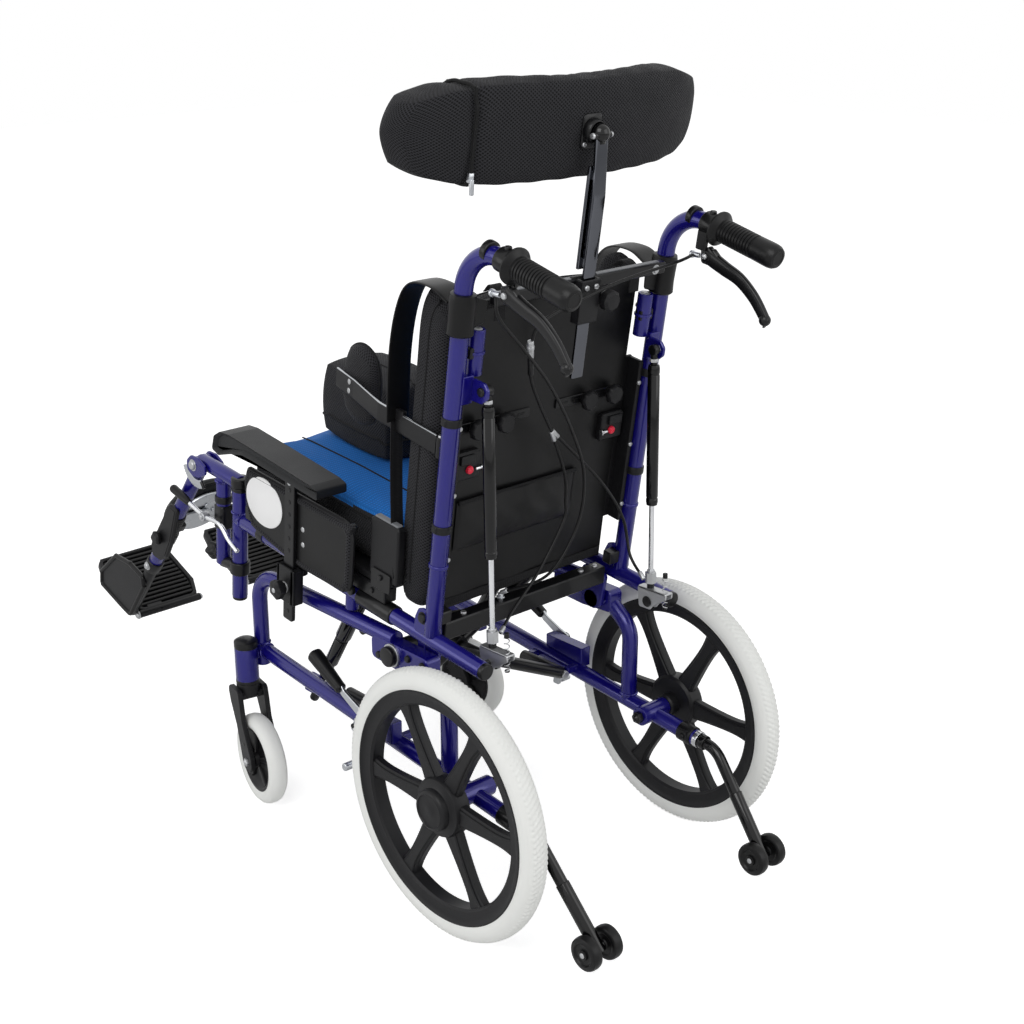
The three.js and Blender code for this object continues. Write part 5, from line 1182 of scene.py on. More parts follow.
def boxed(shares, low, span, radius):
    """An outline given as shares of a box, counterclockwise, with rounded corners."""
    outline = rounded(np.array(low) + np.array(shares) * span, radius)
    return outline if outline_area(outline) > 0 else outline[::-1]


def arm_pad_surface(outline, levels=(0, 0.25, 0.5, 0.75, 1)):
    """Rings of the outline across the pad: at t its half width is 21 + 6 (1 - (1-t)^2.2), inset 6.5 (1-t)^1.8 + 0.2."""
    rings = []
    for t in levels:
        half = PAD_HALF - 6 * (1 - t) ** 2.2
        shape = inset(outline, 6.5 * (1 - t) ** 1.8 + 0.2)
        rings.append(np.column_stack([np.full(len(shape), half), shape]))
    return capped(np.stack([ring * (-1, 1, 1) for ring in rings] + rings[::-1]))


def make_arms():
    """Flat posts with a lobed knob, a padded skirt with a bare pale disc, and a skinned pad."""
    piece = Piece(SEAT)
    skirt = boxed(SKIRT, SKIRT_LOW, SKIRT_SPAN, 26)
    inner = inset(skirt, 9)
    piece.add("moulded black", side_plate(skirt, (213, 221), 2.6))
    piece.add("vinyl", side_plate(inner, (220, 222.4), 1.4))
    rim = np.column_stack([np.full(len(inner), 217.4), inner])
    piece.add("black mesh", seam(rim[::3], 13, 200, up=X))
    disc = [(0, 0), (48, 0), (48, 1.4), (46.5, 2.2), (0, 2.2)]
    verts, faces, corners = lathe(disc, across(X, DISC_PLACE), 64)
    verts[:, 2] = DISC_PLACE[2] + (verts[:, 2] - DISC_PLACE[2]) * DISC_FLAT
    piece.add("pale disc", (verts, faces, corners))
    y0, y1 = ARM_Y - 12, ARM_Y + 12
    piece.add("black metal",
        side_plate([(y0, ARM_Z[0]), (y1, ARM_Z[0]), (y1, ARM_Z[1]), (y0, ARM_Z[1])], ARM_X, 0.9, 4),
        block((213, 240), (y0 - 12, y1 + 12), (203, 209), 5, 1.6))
    piece.add("moulded black", *[bar((229, 229.9), ARM_Y, z, 7.5, edge=0.3) for z in ARM_HOLES])
    piece.add("zinc", *bolts([(221.6, -242, 127), (221.6, -241, 102), (229.4, ARM_Y, 196)], X, 8.5, 1.8))
    piece.add("black metal", *[bar((213.4, 206), -136, z, 14, edge=1.5) for z in (66, 168)])
    both("arm_skirt", piece, "arm_{}", "black_metal", ["arm_frame_{}"])

    socket = Piece(SEAT)
    socket.add("moulded black", *[block(x, y, SOCKET_Z, radius, 1.5) for x, y, radius in (
        ((216, 222.2), (-290, -246), 6), ((229.8, 235.5), (-290, -246), 6),
        ((216, 235.5), (-290, -281), 3), ((216, 235.5), (-255, -246), 3))])
    socket.add("moulded black", block((202, 217), (-284, -252), (40, 66), 5, 2),
               knob(SOCKET_KNOB, (235, ARM_Y, 23), X, 5, 0.09))
    socket.add("zinc", *bolt((255.6, ARM_Y, 23), X, 8, 1.6), bar((234, 237.5), ARM_Y, 23, 19))
    both("arm_socket", socket, "seat", "black_plastic")

    pad = Piece(SEAT @ placed(223, 0, 0))
    pad.add("pad skin", arm_pad_surface(boxed(PAD, PAD_LOW, PAD_SPAN, 7)))
    pad.add("black metal", *bolts([(0, -400, 204), (0, -215, 207.5)], -Z, 10, 3))
    for made in both("arm_pad_skin", pad, "arm_{}", "pad_skin", ["arm_pad_{}"]):
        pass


# Leg rests


# Leg rest hanger in its own place: its upright tube (y), the knee axle (y, z)
HANGER_Y, KNEE = -48, (-110, 113)
HANGER_KNOB = [(0, 0), (8, 0), (9, 6), (13, 9), (14.6, 14), (13.6, 22), (9, 25), (0, 25.4)]
CHEEK = [(-76, 122), (-96, 130), (-118, 128), (-130, 116), (-128, 100), (-112, 92), (-92, 96), (-74, 108)]
# Leg tube in its own place, where it runs down -Z from the knee
KNEE_COVER = [(-15, -128), (10, -118), (30, -186), (34, -226), (22, -250), (2, -262), (-14, -244)]
HEEL_FLAP = [(11.9, -442), (-17.9, -454), (-84.7, -478), (-97.8, -454), (-81, -382), (-41.7, -352), (0, -337),
             (11.9, -352)]
CLAMP_KNOB = [(0, 0), (6, 0), (7, 5), (11, 7), (12, 12), (9, 15), (0, 15.4)]
# Footplate outline in its own place
TRAY = [(-112, -159), (12, -157), (24, -120), (22, -40), (8, -6), (-104, -6), (-120, -46), (-120, -126)]


def ratchet():
    """The knee's toothed sector: (y, z) on arcs of 40 and 27 round the knee from 200 to 300 degrees, 15 teeth."""
    teeth = np.linspace(np.radians(200), np.radians(300), 31)

    def arc(reach, angles):
        return np.column_stack([KNEE[0] + reach * np.cos(angles), KNEE[1] + reach * np.sin(angles)])

    return np.vstack([arc(40 + 1.6 * (np.arange(31) % 2), teeth), arc(27, teeth[::-3])])


def make_hangers():
    """Swing away hangers: an arm and an upright tube, a lock knob, a toothed sector and the knee's cheeks."""
    d = sizes().tube / MM
    hanger = Piece(HANGER)
    hanger.add("paint", tube([(0, 3, 117), (0, KNEE[0], 117)], d, edge=2),
               tube([(0, HANGER_Y, 116), (0, HANGER_Y, -44)], d - 1, edge=1), weld((0, HANGER_Y, 104), Z))
    hanger.add("moulded black", knob(HANGER_KNOB, (0, -60, -33), -Y, 5, 0.1, 50))
    hanger.add("zinc", bar(0, (-44, -61), -33, 9))
    hanger.add("black metal",
        rod((0, HANGER_Y, -42), (0, 0, -33), 20),
        bar(0, 0, (-44, -22), 33, edge=2),
        bar(0, 0, (111, 127), 30, edge=2.5),
        block((-13, 13), (HANGER_Y - 12, HANGER_Y + 14), (20, 62), 6, 2),
        bar(0, HANGER_Y, (66, 78), 29, edge=1.5))
    hanger.add("paint", *[side_plate(CHEEK, x, 1, 8) for x in ((-19, -14.6), (14.6, 19))])
    hanger.add("zinc", *bolt((19, *KNEE), X, 15, 5, 20), *nut((-19, *KNEE), -X, 14, 6))
    hanger.add("alloy", side_plate(ratchet(), (9.4, 13.6), 0.4))
    hanger.add("black metal", rod((13, -86, 78), (13, -94, 88), 6))
    both("leg_hanger_tube", hanger, "leg_hanger_{}", "blue_paint", ["leg_hanger_{}"])


def make_leg_tubes():
    """Elevating leg tubes with a knee cover, a ribbed sleeve, a clamp with its knob and a heel flap."""
    d = sizes().tube / MM
    cover, flap = rounded(KNEE_COVER, 12), rounded(HEEL_FLAP, 9)
    leg = Piece(LEG)
    leg.add("moulded black", side_plate(cover, (9, 17), 2.4), side_plate(inset(cover[::-1], 5), (16, 18), 0.8),
            side_plate(flap, (6.4, 13), 2.6))
    leg.add("black rubber", seam(np.column_stack([np.full(len(flap), 12.0), flap])[::2], 8.6, 160, up=X))
    leg.add("paint", bar(0, 0, (8, -305), d - 0.4, edge=1), bar((-13.6, 13.6), 0, 0, 26, edge=1))
    leg.add("black metal",
        bar(0, 0, (-300, -453), 22, edge=1),
        bar(0, 0, (-286, -312), 30, edge=2),
        block((-11, 11), (-26, 4), (-452, -428), 5, 2))
    leg.add("black rubber", bar(0, 0, (-145, -240), 29.4, edge=2))
    rib = [(14.5, -1.4), (15.2, 0), (14.5, 1.4)]
    leg.add("black rubber", *[lathe(rib, placed(0, 0, -152 - 7.3 * k), 32) for k in range(12)])
    leg.add("zinc", *bolt((14.6, 0, -299), X, 11, 4, 15))
    leg.add("black metal", bar(0, 0, (-222, -196), 33, edge=2), block((-38, -8), (-20, -4), (-218, -200), 4, 2))
    leg.add("moulded black", knob(CLAMP_KNOB, (14, 0, -209), X, 5, 0.1, 50))
    both("leg_tube_bar", leg, "leg_tube_{}", "blue_paint", ["leg_tube_{}"])


def make_footplates():
    """Footplates: a tray with a raised rim, thirteen rubber treads and a hinge."""
    foot = Piece(LEG @ placed(-24, 14, -442, 16.4))
    tray = rounded(TRAY, 22)
    foot.add("moulded black", plate(tray, -14, -6, 2.4))
    raised = np.column_stack([tray, np.full(len(tray), -7.0)])
    foot.add("moulded black", sweep(smooth(np.vstack([raised, raised[:1]]), 160), section(9, 15, 14, 3), up=Z))
    for y in -146 + 10.6 * np.arange(13):
        short = 8 * (abs(y + 83) / 64) ** 3
        foot.add("black rubber", block((-113 + short, 16 - short), (y - 3.1, y + 3.1), (-6.4, -0.4), 1.5, 1.2))
    foot.add("black metal", bar((-112, 20), -2, -7, 14, edge=1), block((-36, -4), (-20, 4), (-12, -2), 3, 1.5))
    foot.add("zinc", *bolt((20, -2, -7), X, 12, 3.5, 16), *nut((-112, -2, -7), -X, 12, 4))
    foot.add("black metal", *bolts([(x, -80, -14) for x in (-96, 0)], -Z, 10, 2.6))
    both("footplate_tread", foot, "footplate_{}", "black_plastic", ["footplate_{}"])


# Calf pad radius, and the height of its arm on the leg tube
CALF_RADIUS, CALF_Z = 67.6, -208


def make_calf_pads():
    """Round skinned pads on steel plates, turned in from the leg tubes."""
    place = LEG @ placed(-85, -46.2, CALF_Z) @ across(Y)
    verts, faces, corners = plumped("calf_pad", (136, 136, 35), (24, 24, 8), 0.9, cap=4)
    radius = np.linalg.norm(verts[:, :2], axis=1)
    verts[:, :2] *= np.minimum(1, CALF_RADIUS / np.maximum(radius, 1e-6))[:, None]
    piece = Piece(place)
    piece.add("pad skin", (verts, faces, corners))
    a = np.linspace(0, 2 * np.pi, 40, endpoint=False)
    piece.add("black rubber", seam(np.column_stack([66.2 * np.cos(a), 66.2 * np.sin(a), 6 + 0 * a]), 4.2))
    piece.add("alloy", bar(0, 0, (14, 19.6), 104, edge=1), *bolts([(-20, 0, 20), (20, 0, 20), (0, 20, 20)], Z, 9, 3))
    for made in both("calf_pad_skin", piece, "calf_pad_{}", "pad_skin", ["calf_pad_{}"]):
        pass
    arm = Piece(LEG)
    arm.add("alloy", block((-90, -20), (-24.5, -20), (CALF_Z - 14, CALF_Z + 14), 4, 0.9),
            bar(-24, (-22, -6), CALF_Z, 13))
    both("calf_pad_arm", arm, "calf_pad_{}", "zinc")


# Pivot of the leg rest's release lever on the hanger
RELEASE = np.array((213, -527, 37))


def make_leg_levers():
    """Chrome rods through the hangers with a black grip ahead and a bare end behind."""
    piece = Piece(SEAT)
    route = [(0, -94, 15), (0, -46, 7), (0, 0, 0), (0, 44, 3), (0, 70, -14), (0, 97, -26)]
    grip = [(0, -98, 15.6), (0, -80, 12.7), (0, -44, 6.8)]
    piece.add("chrome", sweep(smooth(RELEASE + route, 60), section(7.8, sides=20), edge=1.5))
    piece.add("black rubber", sweep(smooth(RELEASE + grip, 14), section(14.6, sides=24), edge=2.5, scale=np.interp(
        np.linspace(0, 1, 14), [0, 0.15, 0.8, 1], [0.86, 1, 0.98, 0.76])))
    piece.add("zinc", rod(RELEASE - 7 * X, RELEASE + 6 * X, 15, edge=1), *bolt(RELEASE + 6 * X, X, 9, 3))
    both("leg_lever_rod", piece, "leg_lever_{}", "chrome", ["leg_lever_{}"])


# Reclining back


# Centre line of the left cane, up to the bend and on to the push handle's end
CANE_X, CANE_Y, BEND_Z = 192, 11, 558
HANDLE_END = (CANE_X, 205, 538.2)
HANDLE_WAY = unit(np.subtract(HANDLE_END, (CANE_X, CANE_Y, BEND_Z)))
GRIP_START = HANDLE_END - HANDLE_WAY * 108
# Side socket of the armrest strap, inward of the cane
SOCKET_X = 161
# Half outline of the vinyl sleeve on the cane, outline (x, z) of its flap and the matrix that stands it upright
SLEEVE = [(0, 429), (16.6, 429), (18.4, 431), (17.6, 446), (18, 462), (18.8, 478), (17.4, 485), (13.5, 486), (0, 486)]
FLAP = [(192, 486), (150, 470), (152, 440), (192, 430)]
UPRIGHT = np.array([[1, 0, 0, 0], [0, 0, 1, 8], [0, 1, 0, 0], [0, 0, 0, 1.0]])
# Upper pin of the gas spring (y, z), outline of the bracket round it, and heights of the two clamps
SPRING_PIN, CLAMPS = (42, 355), (140, 300)
SPRING_TAB = [(18, 336), (20, 368), (46, 368), (54, 360), (54, 348), (44, 338)]


def make_canes():
    """Blue canes with black sleeves and clamps, side sockets, spring brackets and the cross bar."""
    d = sizes().tube / MM
    piece = Piece(BACK)
    piece.add("paint",
        tube([(CANE_X, CANE_Y, -26), (CANE_X, CANE_Y, BEND_Z), HANDLE_END], d, 60, edge=1),
        bar(CANE_X, CANE_Y, (84, 90), 28.4, edge=1.5))
    piece.add("vinyl", lathe(SLEEVE, placed(CANE_X, CANE_Y, 0), 40, 3, 0.03),
              plate(rounded(FLAP, 6), 4, 7, 1, UPRIGHT))
    piece.add("black metal",
        rod(GRIP_START - HANDLE_WAY * 23, GRIP_START - HANDLE_WAY * 1, 33.5, edge=2),
        rod(GRIP_START - HANDLE_WAY * 50, GRIP_START - HANDLE_WAY * 40, 29.4, edge=1.5),
        *bolt(GRIP_START - HANDLE_WAY * 12 + np.array((0, 0, 16)), Z, 10, 4),
        block((176, 182), (GRIP_START[1] - 22, GRIP_START[1] - 4), (GRIP_START[2] - 34, GRIP_START[2] - 6), 3, 1.5),
        block((150, 176), (4, 18), (392, 408), 3, 1.5))
    piece.add("paint", bar(SOCKET_X, CANE_Y, (368, 432), 22.4, edge=1), bar(SOCKET_X, CANE_Y, (398, 402), 26))
    piece.add("zinc", *bolt((161, -0.4, 410), -Y, 8, 3), *bolt((SOCKET_X, CANE_Y, 430), Z, 14, 3, 19))
    piece.add("paint", side_plate(SPRING_TAB, (167.6, 172.4), 0.9, 7), block((170, 190), (14, 24), (332, 372), 2, 1))
    piece.add("black metal", bar((158, 169), *SPRING_PIN, 9), *bolt((172, *SPRING_PIN), X, 13, 4))
    piece.add("pale disc", bar((164.6, 167.4), *SPRING_PIN, 14))
    piece.add("black metal", block((161, 184), (-2, 16), (-12, 8), 3, 1.5),
              *bolts([(192, -2, z) for z in (60, 250, 310)], -Y, 8, 2.6))
    for z in CLAMPS:
        piece.add("moulded black", bar(CANE_X, CANE_Y, (z, z + 12), 29, edge=1.5),
                  block((196, 208), (6, 16), (z + 1, z + 11), 3, 1.4))
    piece.add("zinc", *bolt((203, 0, 0), X, 10, 1.5))
    both("cane_tube", piece, "back", "blue_paint", ["cane_{}"])

    cross_bar = Piece(BACK)
    cross_bar.add("black metal", block((-161, 161), (27, 41), (471, 487.4), 3, 1.4))
    cross_bar.add("grey plastic", block((-150, 150), (30, 38), (486.8, 488.6), 2, 0.5))
    cross_bar.add("zinc", *bolts([(x, 41, 479) for x in (-140, 140)], Y, 10, 3, 14))
    cross_bar.object("back_cross_bar", "back", "black_metal")


# Length of the push grip that has grooves
GROOVED = 58


def grip_profile():
    """Radius and distance along the push grip: flange, fine grooves, smooth rounded end."""
    r, count = sizes().grip / MM / 2, sizes().grooves
    profile = [(0, 0), (22, 0), (24.6, 1.6), (25, 4), (23, 6.6), (19, 8.4), (r * 0.96, 11)]
    pitch = GROOVED / count
    for k in range(count):
        s = 14 + GROOVED * k / count
        profile += [(r, s), (r, s + pitch * 0.45), (r - 1.5, s + pitch * 0.6), (r - 1.5, s + pitch * 0.85)]
    return profile + [(r, 73), (r, 78), (r * 1.02, 92), (r * 1.02, 100), (r * 0.97, 106), (r * 0.82, 110.6),
                      (r * 0.6, 111.6), (r * 0.55, 110.8), (0, 110.8)]


def make_grips():
    """Rubber push grips with a flange and grooves."""
    piece = Piece(BACK)
    piece.add("black rubber", lathe(grip_profile(), across(HANDLE_WAY, GRIP_START), 64))
    both("push_grip", piece, "back", "black_rubber", ["grip_{}"])


# The hand lever's pivot
LEVER = BACK @ placed(188.6, 90.7, 507.5)
# The blade's centre line from its pivot, and the outline of the cheeks beside it
BLADE = [(0, -4, 3), (0, 12, -3), (0, 34, -9), (0, 62, -16), (0, 90, -32), (0, 112, -52), (0, 119, -61)]
LEVER_CHEEK = [(-12, 10), (10, 12), (34, -4), (40, -14), (20, -12), (-8, -12)]


def make_hand_levers():
    """Curved black blades under the grips, each with a ball end, a bracket, a pivot bolt and a barrel adjuster."""
    piece = Piece(LEVER)
    taper = np.interp(np.linspace(0, 1, 40), [0, 0.12, 0.5, 0.86, 0.95, 1], [1.5, 1.3, 1.08, 0.9, 1.0, 0.96])
    turn = np.linspace(-np.pi / 2, np.pi / 2, 14)
    ball = 8.4 * np.column_stack([np.cos(turn), np.sin(turn)])
    piece.add("black metal",
        sweep(smooth(BLADE, 40), section(17.5, 10, 22, 3), edge=3, scale=taper),
        side_plate(LEVER_CHEEK, (-4.6, 4.6), 1.2, 5),
        lathe(ball, placed(0, 116, -57), 28),
        bar((-6.6, 6.6), 0, 0, 17, edge=1.4))
    piece.add("zinc", *bolt((6.6, 0, 0), X, 9, 3), *nut((-6.4, 0, 0), -X, 9, 3))
    both("hand_lever_blade", piece, "hand_lever_{}", "black_metal", ["hand_lever_{}"])
    mount = Piece(LEVER)
    mount.add("alloy", rod((0.5, -28, -6), (0.5, -14, -4), 8, edge=1),
              rod((0.5, -31, -6.4), (0.5, -27, -5.8), 11, sides=12))
    both("lever_adjuster", mount, "back", "zinc")


# Back panel in the back's own place: the board's rear face, half width, foot and top
BOARD_Y, BOARD_X, BOARD_Z = -13.4, 163, (-6, 456)
SLOT_Z = 277
# Pocket (left edge, right edge), (foot, mouth), and how far it stands off
POCKET_X, POCKET_Z, POCKET_DEPTH = (-83, 148), (86, 163), 8.4
PANEL_KNOB = [(0, 0), (8, 0), (9, 5), (13, 7), (15, 10), (14.8, 15), (12.6, 18), (12, 17.4), (0, 17.4)]
BUTTON = [(0, -2), (6, -2), (6, 3), (5, 4.4), (2.6, 5), (2.4, 4.4), (0, 4.2)]


def panel_cloth():
    """Cloth on the board's rear face, with folds y = a sin(x/b + 1.2 sin(z/c)) (d + e cos2(z/f)) + g sin(x/h + z/k)."""
    x, z = np.meshgrid(np.linspace(-BOARD_X, BOARD_X, 120), np.linspace(*BOARD_Z, 90))
    folds = 0.9 * np.sin(x / 17 + 1.2 * np.sin(z / 90)) * (0.4 + 0.6 * np.cos(z / 150) ** 2)
    sag = 0.5 * np.sin(x / 41 + z / 60)
    return grid(np.stack([x, BOARD_Y + 1.2 + folds + sag, z], 2)[:, ::-1])


def pocket_sheet():
    """A puffed sheet: y rises by depth (16 u v (1-u)(1-0.86 v))^0.45, with folds that grow with it."""
    x, z = np.meshgrid(np.linspace(*POCKET_X, 60), np.linspace(*POCKET_Z, 40))
    u = (x - POCKET_X[0]) / (POCKET_X[1] - POCKET_X[0])
    v = (z - POCKET_Z[0]) / (POCKET_Z[1] - POCKET_Z[0])
    puff = np.clip(16 * u * (1 - u) * np.clip(v, 0, 1) * (1 - 0.86 * v), 0, None) ** 0.45
    fold = 0.9 * np.sin(x / 9 + 2 * np.sin(z / 14)) * puff
    return grid(np.stack([x, BOARD_Y + 2.8 + POCKET_DEPTH * puff + fold, z], 2)[:, ::-1])


def make_back_panel():
    """Black cloth covered board with side wings, a pocket, slot plates with knobs and button blocks."""
    piece = Piece(BACK)
    piece.add("vinyl", panel_cloth())
    piece.add("moulded black", block((-162.6, 162.6), (-18.8, -13.6), (-7.6, 457.6), 4, 1.2))
    for side in (-1, 1):
        def out(*x):
            """Distances outward from the middle as x on this side."""
            return tuple(side * v for v in x)

        piece.add("moulded black",
            block(out(163, 178.6), (-18.8, BOARD_Y), (60, 325), 3, 1.2),
            block(out(171, 178.8), (-19, 10.6), (61, 324), 3, 1.6))
        piece.add("zinc", *bolts([(side * 174.6, 10.4, z) for z in (90, 190, 290)], Y, 7, 2))
        piece.add("moulded black",
            block(out(119.5, 164.5), (BOARD_Y, -2), (200.5, 243.5), 8, 3),
            block(out(132, 158), (-3, 2), (226, 240), 5, 1.6))
        piece.add("red button", lathe(BUTTON, across(Y, (side * 140, -2, 217)), 32))
        piece.add("chrome", bar(out(118, 130), 0.5, 217, 5), bar(out(117, 119), 0.5, 217, 9))
        piece.add("black metal", block(out(26, 154), (BOARD_Y, -10), (SLOT_Z - 7, SLOT_Z + 7), 6, 0.8))
        for x in range(36, 133, 24):
            piece.add("vinyl", block(out(x, x + 13), (-10.2, -9.4), (SLOT_Z - 1.8, SLOT_Z + 1.8), 1.7, 0.3))
        piece.add("moulded black", *[knob(PANEL_KNOB, (side * x, -10, SLOT_Z), Y, 8, 0.03) for x in (82, 132.7)])
    piece.add("webbing", *[block((-161, 161), (-13, -9.6), (z - 6, z + 6), 2, 1) for z in (452, 4)])
    piece.add("vinyl", pocket_sheet())
    piece.add("webbing", block(POCKET_X, (-9, -5), (160, 166), 1.5, 0.8))
    piece.object("back_board", "back", "black_metal", ["back_panel"])


# Back cushion in its own place: the channels in its face, and the centre line of a side roll
CHANNEL_X, CHANNEL_WIDTH, CHANNEL_DEPTH = 118, 7, 3.2
ROLL_X, ROLL = 165, [(0, -8, -236), (0, -10, -85), (0, -10, 115), (0, -8, 200), (0, 12, 238)]


def make_back_cushion():
    """Blue face, black mesh edge and two side rolls, blown up by cloth simulation, with piping."""
    place = BACK @ placed(0, -49.3, 226)
    verts, faces, corners = plumped("back_cushion", (368, 60, 480), (46, 8, 58), 0.22, cap=7)
    rows, uv = np.vstack(faces), np.vstack(corners)
    front = verts[rows].mean(axis=1)[:, 1] < -19
    piece = Piece(place)
    # The front goes in along two channels: y rises by 3.2 exp(-((|x| - 118) / 7)^2)
    near = verts[:, 1] < 0
    verts[near, 1] += CHANNEL_DEPTH * np.exp(-((np.abs(verts[near, 0]) - CHANNEL_X) / CHANNEL_WIDTH) ** 2)
    piece.add("blue mesh", (verts, [rows[front]], [uv[front]]))
    piece.add("black mesh", (verts, [rows[~front]], [uv[~front]]))
    roll = section(36, 62, 40, 2.7)
    path = smooth(ROLL, 70)
    swell = np.interp(np.linspace(0, 1, 70), [0, 0.06, 0.14, 0.86, 1], [0.72, 0.96, 1, 1, 0.62])
    for x in (-ROLL_X, ROLL_X):
        piece.add("black mesh", sweep(path + (x, 0, 0), roll, up=Y, scale=swell, edge=8))
        edge = path + (x + np.sign(x) * 17.4, 0, 0)
        piece.add("webbing", sweep(edge[4:-4], section(3.4, sides=8)))
    for depth in (-19, 19):
        ring = outline_at(verts, depth, axis=1)
        piece.add("zip tape" if depth > 0 else "webbing", seam(ring, 4.2, up=Y))
    piece.object("back_cushion_cover", "back", "blue_mesh", ["back_cushion"], smooth_all=True)


def make_laterals():
    """Oval trunk pads on steel hinge arms with two bolts each."""
    place = BACK @ placed(145, -240, 258)
    verts, faces, corners = plumped("lateral", (32, 84, 128), (8, 18, 26), 0.85, cap=4)
    pad = Piece(place)
    pad.add("black mesh", (verts, faces, corners))
    ring = outline_at(verts, 0, axis=0)
    pad.add("webbing", seam(ring, 3.6, up=X))
    for made in both("lateral_cover", pad, "lateral_{}", "black_mesh", ["lateral_{}"], smooth_all=True):
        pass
    arm = Piece(BACK)
    route = [(160, -282, 258), (167, -232, 258), (186, -150, 258), (188, -20, 258)]
    arm.add("moulded black", sweep(bent(route, 30), section(3.6, 28, 20, 5), up=Z))
    arm.add("alloy", sweep(bent(np.add(route, (0, 0, 14)), 30), section(3.0, 2.2, 10), up=Z))
    arm.add("black metal", bar(188, -11, (243, 273), 13, edge=1))
    arm.add("zinc", *bolts([(163.5, -244, z) for z in (251, 265)], (1, -0.2, 0), 10, 4),
            *bolt((188, -11, 273), Z, 9, 3))
    both("lateral_arm", arm, "lateral_{}", "zinc")


# Headrest

# Headrest pad in its own place: length, thickness and height; how far its wings come forward
PAD_SIZE, WING = (590, 90, 140), 50
ZIP_X = 182
CARRIER_Z = (426, 488)
CARRIER_KNOB = [(0, 0), (8, 0), (9, 6), (13, 9), (15, 13), (14.6, 22), (11, 26), (0, 26.6)]


def winged(p):
    """The pad's box with wings: y moves forward by 50 s2 and both ends are drawn in, more above than below.

    s is |x| over 290, and t runs from 0 at |x| = 120 to 1 near the end.
    """
    s = np.abs(p[:, 0]) / 290
    t = np.clip((np.abs(p[:, 0]) - 120) / 166, 0, 1)
    end = np.sqrt(1 - 0.97 * t**2.9)
    rim = 1 - 0.24 * np.abs(p[:, 2] / 70) ** 4
    y = p[:, 1] * (0.86 + 0.16 * s * s) * end * rim - WING * s**2
    z = p[:, 2] * 1.03 * np.sqrt(1 - 0.95 * t ** np.where(p[:, 2] > 0, 2.1, 3.1))
    return np.stack([p[:, 0], y, z], 1)


def zip_ring(verts):
    """The pad's outline where the zip runs round it: the farthest point in each of 44 directions."""
    near = verts[np.abs(verts[:, 0] - ZIP_X) < 9]
    middle = near.mean(axis=0)
    angle = np.arctan2(near[:, 2], near[:, 1] - middle[1])
    ring = []
    for t in np.linspace(-np.pi, np.pi, 44, endpoint=False):
        chosen = near[np.abs(np.angle(np.exp(1j * (angle - t)))) < 0.22]
        if len(chosen):
            best = chosen[np.argmax(np.hypot(chosen[:, 1] - middle[1], chosen[:, 2]))]
            ring.append((ZIP_X, best[1], best[2]))
    return np.array(ring)


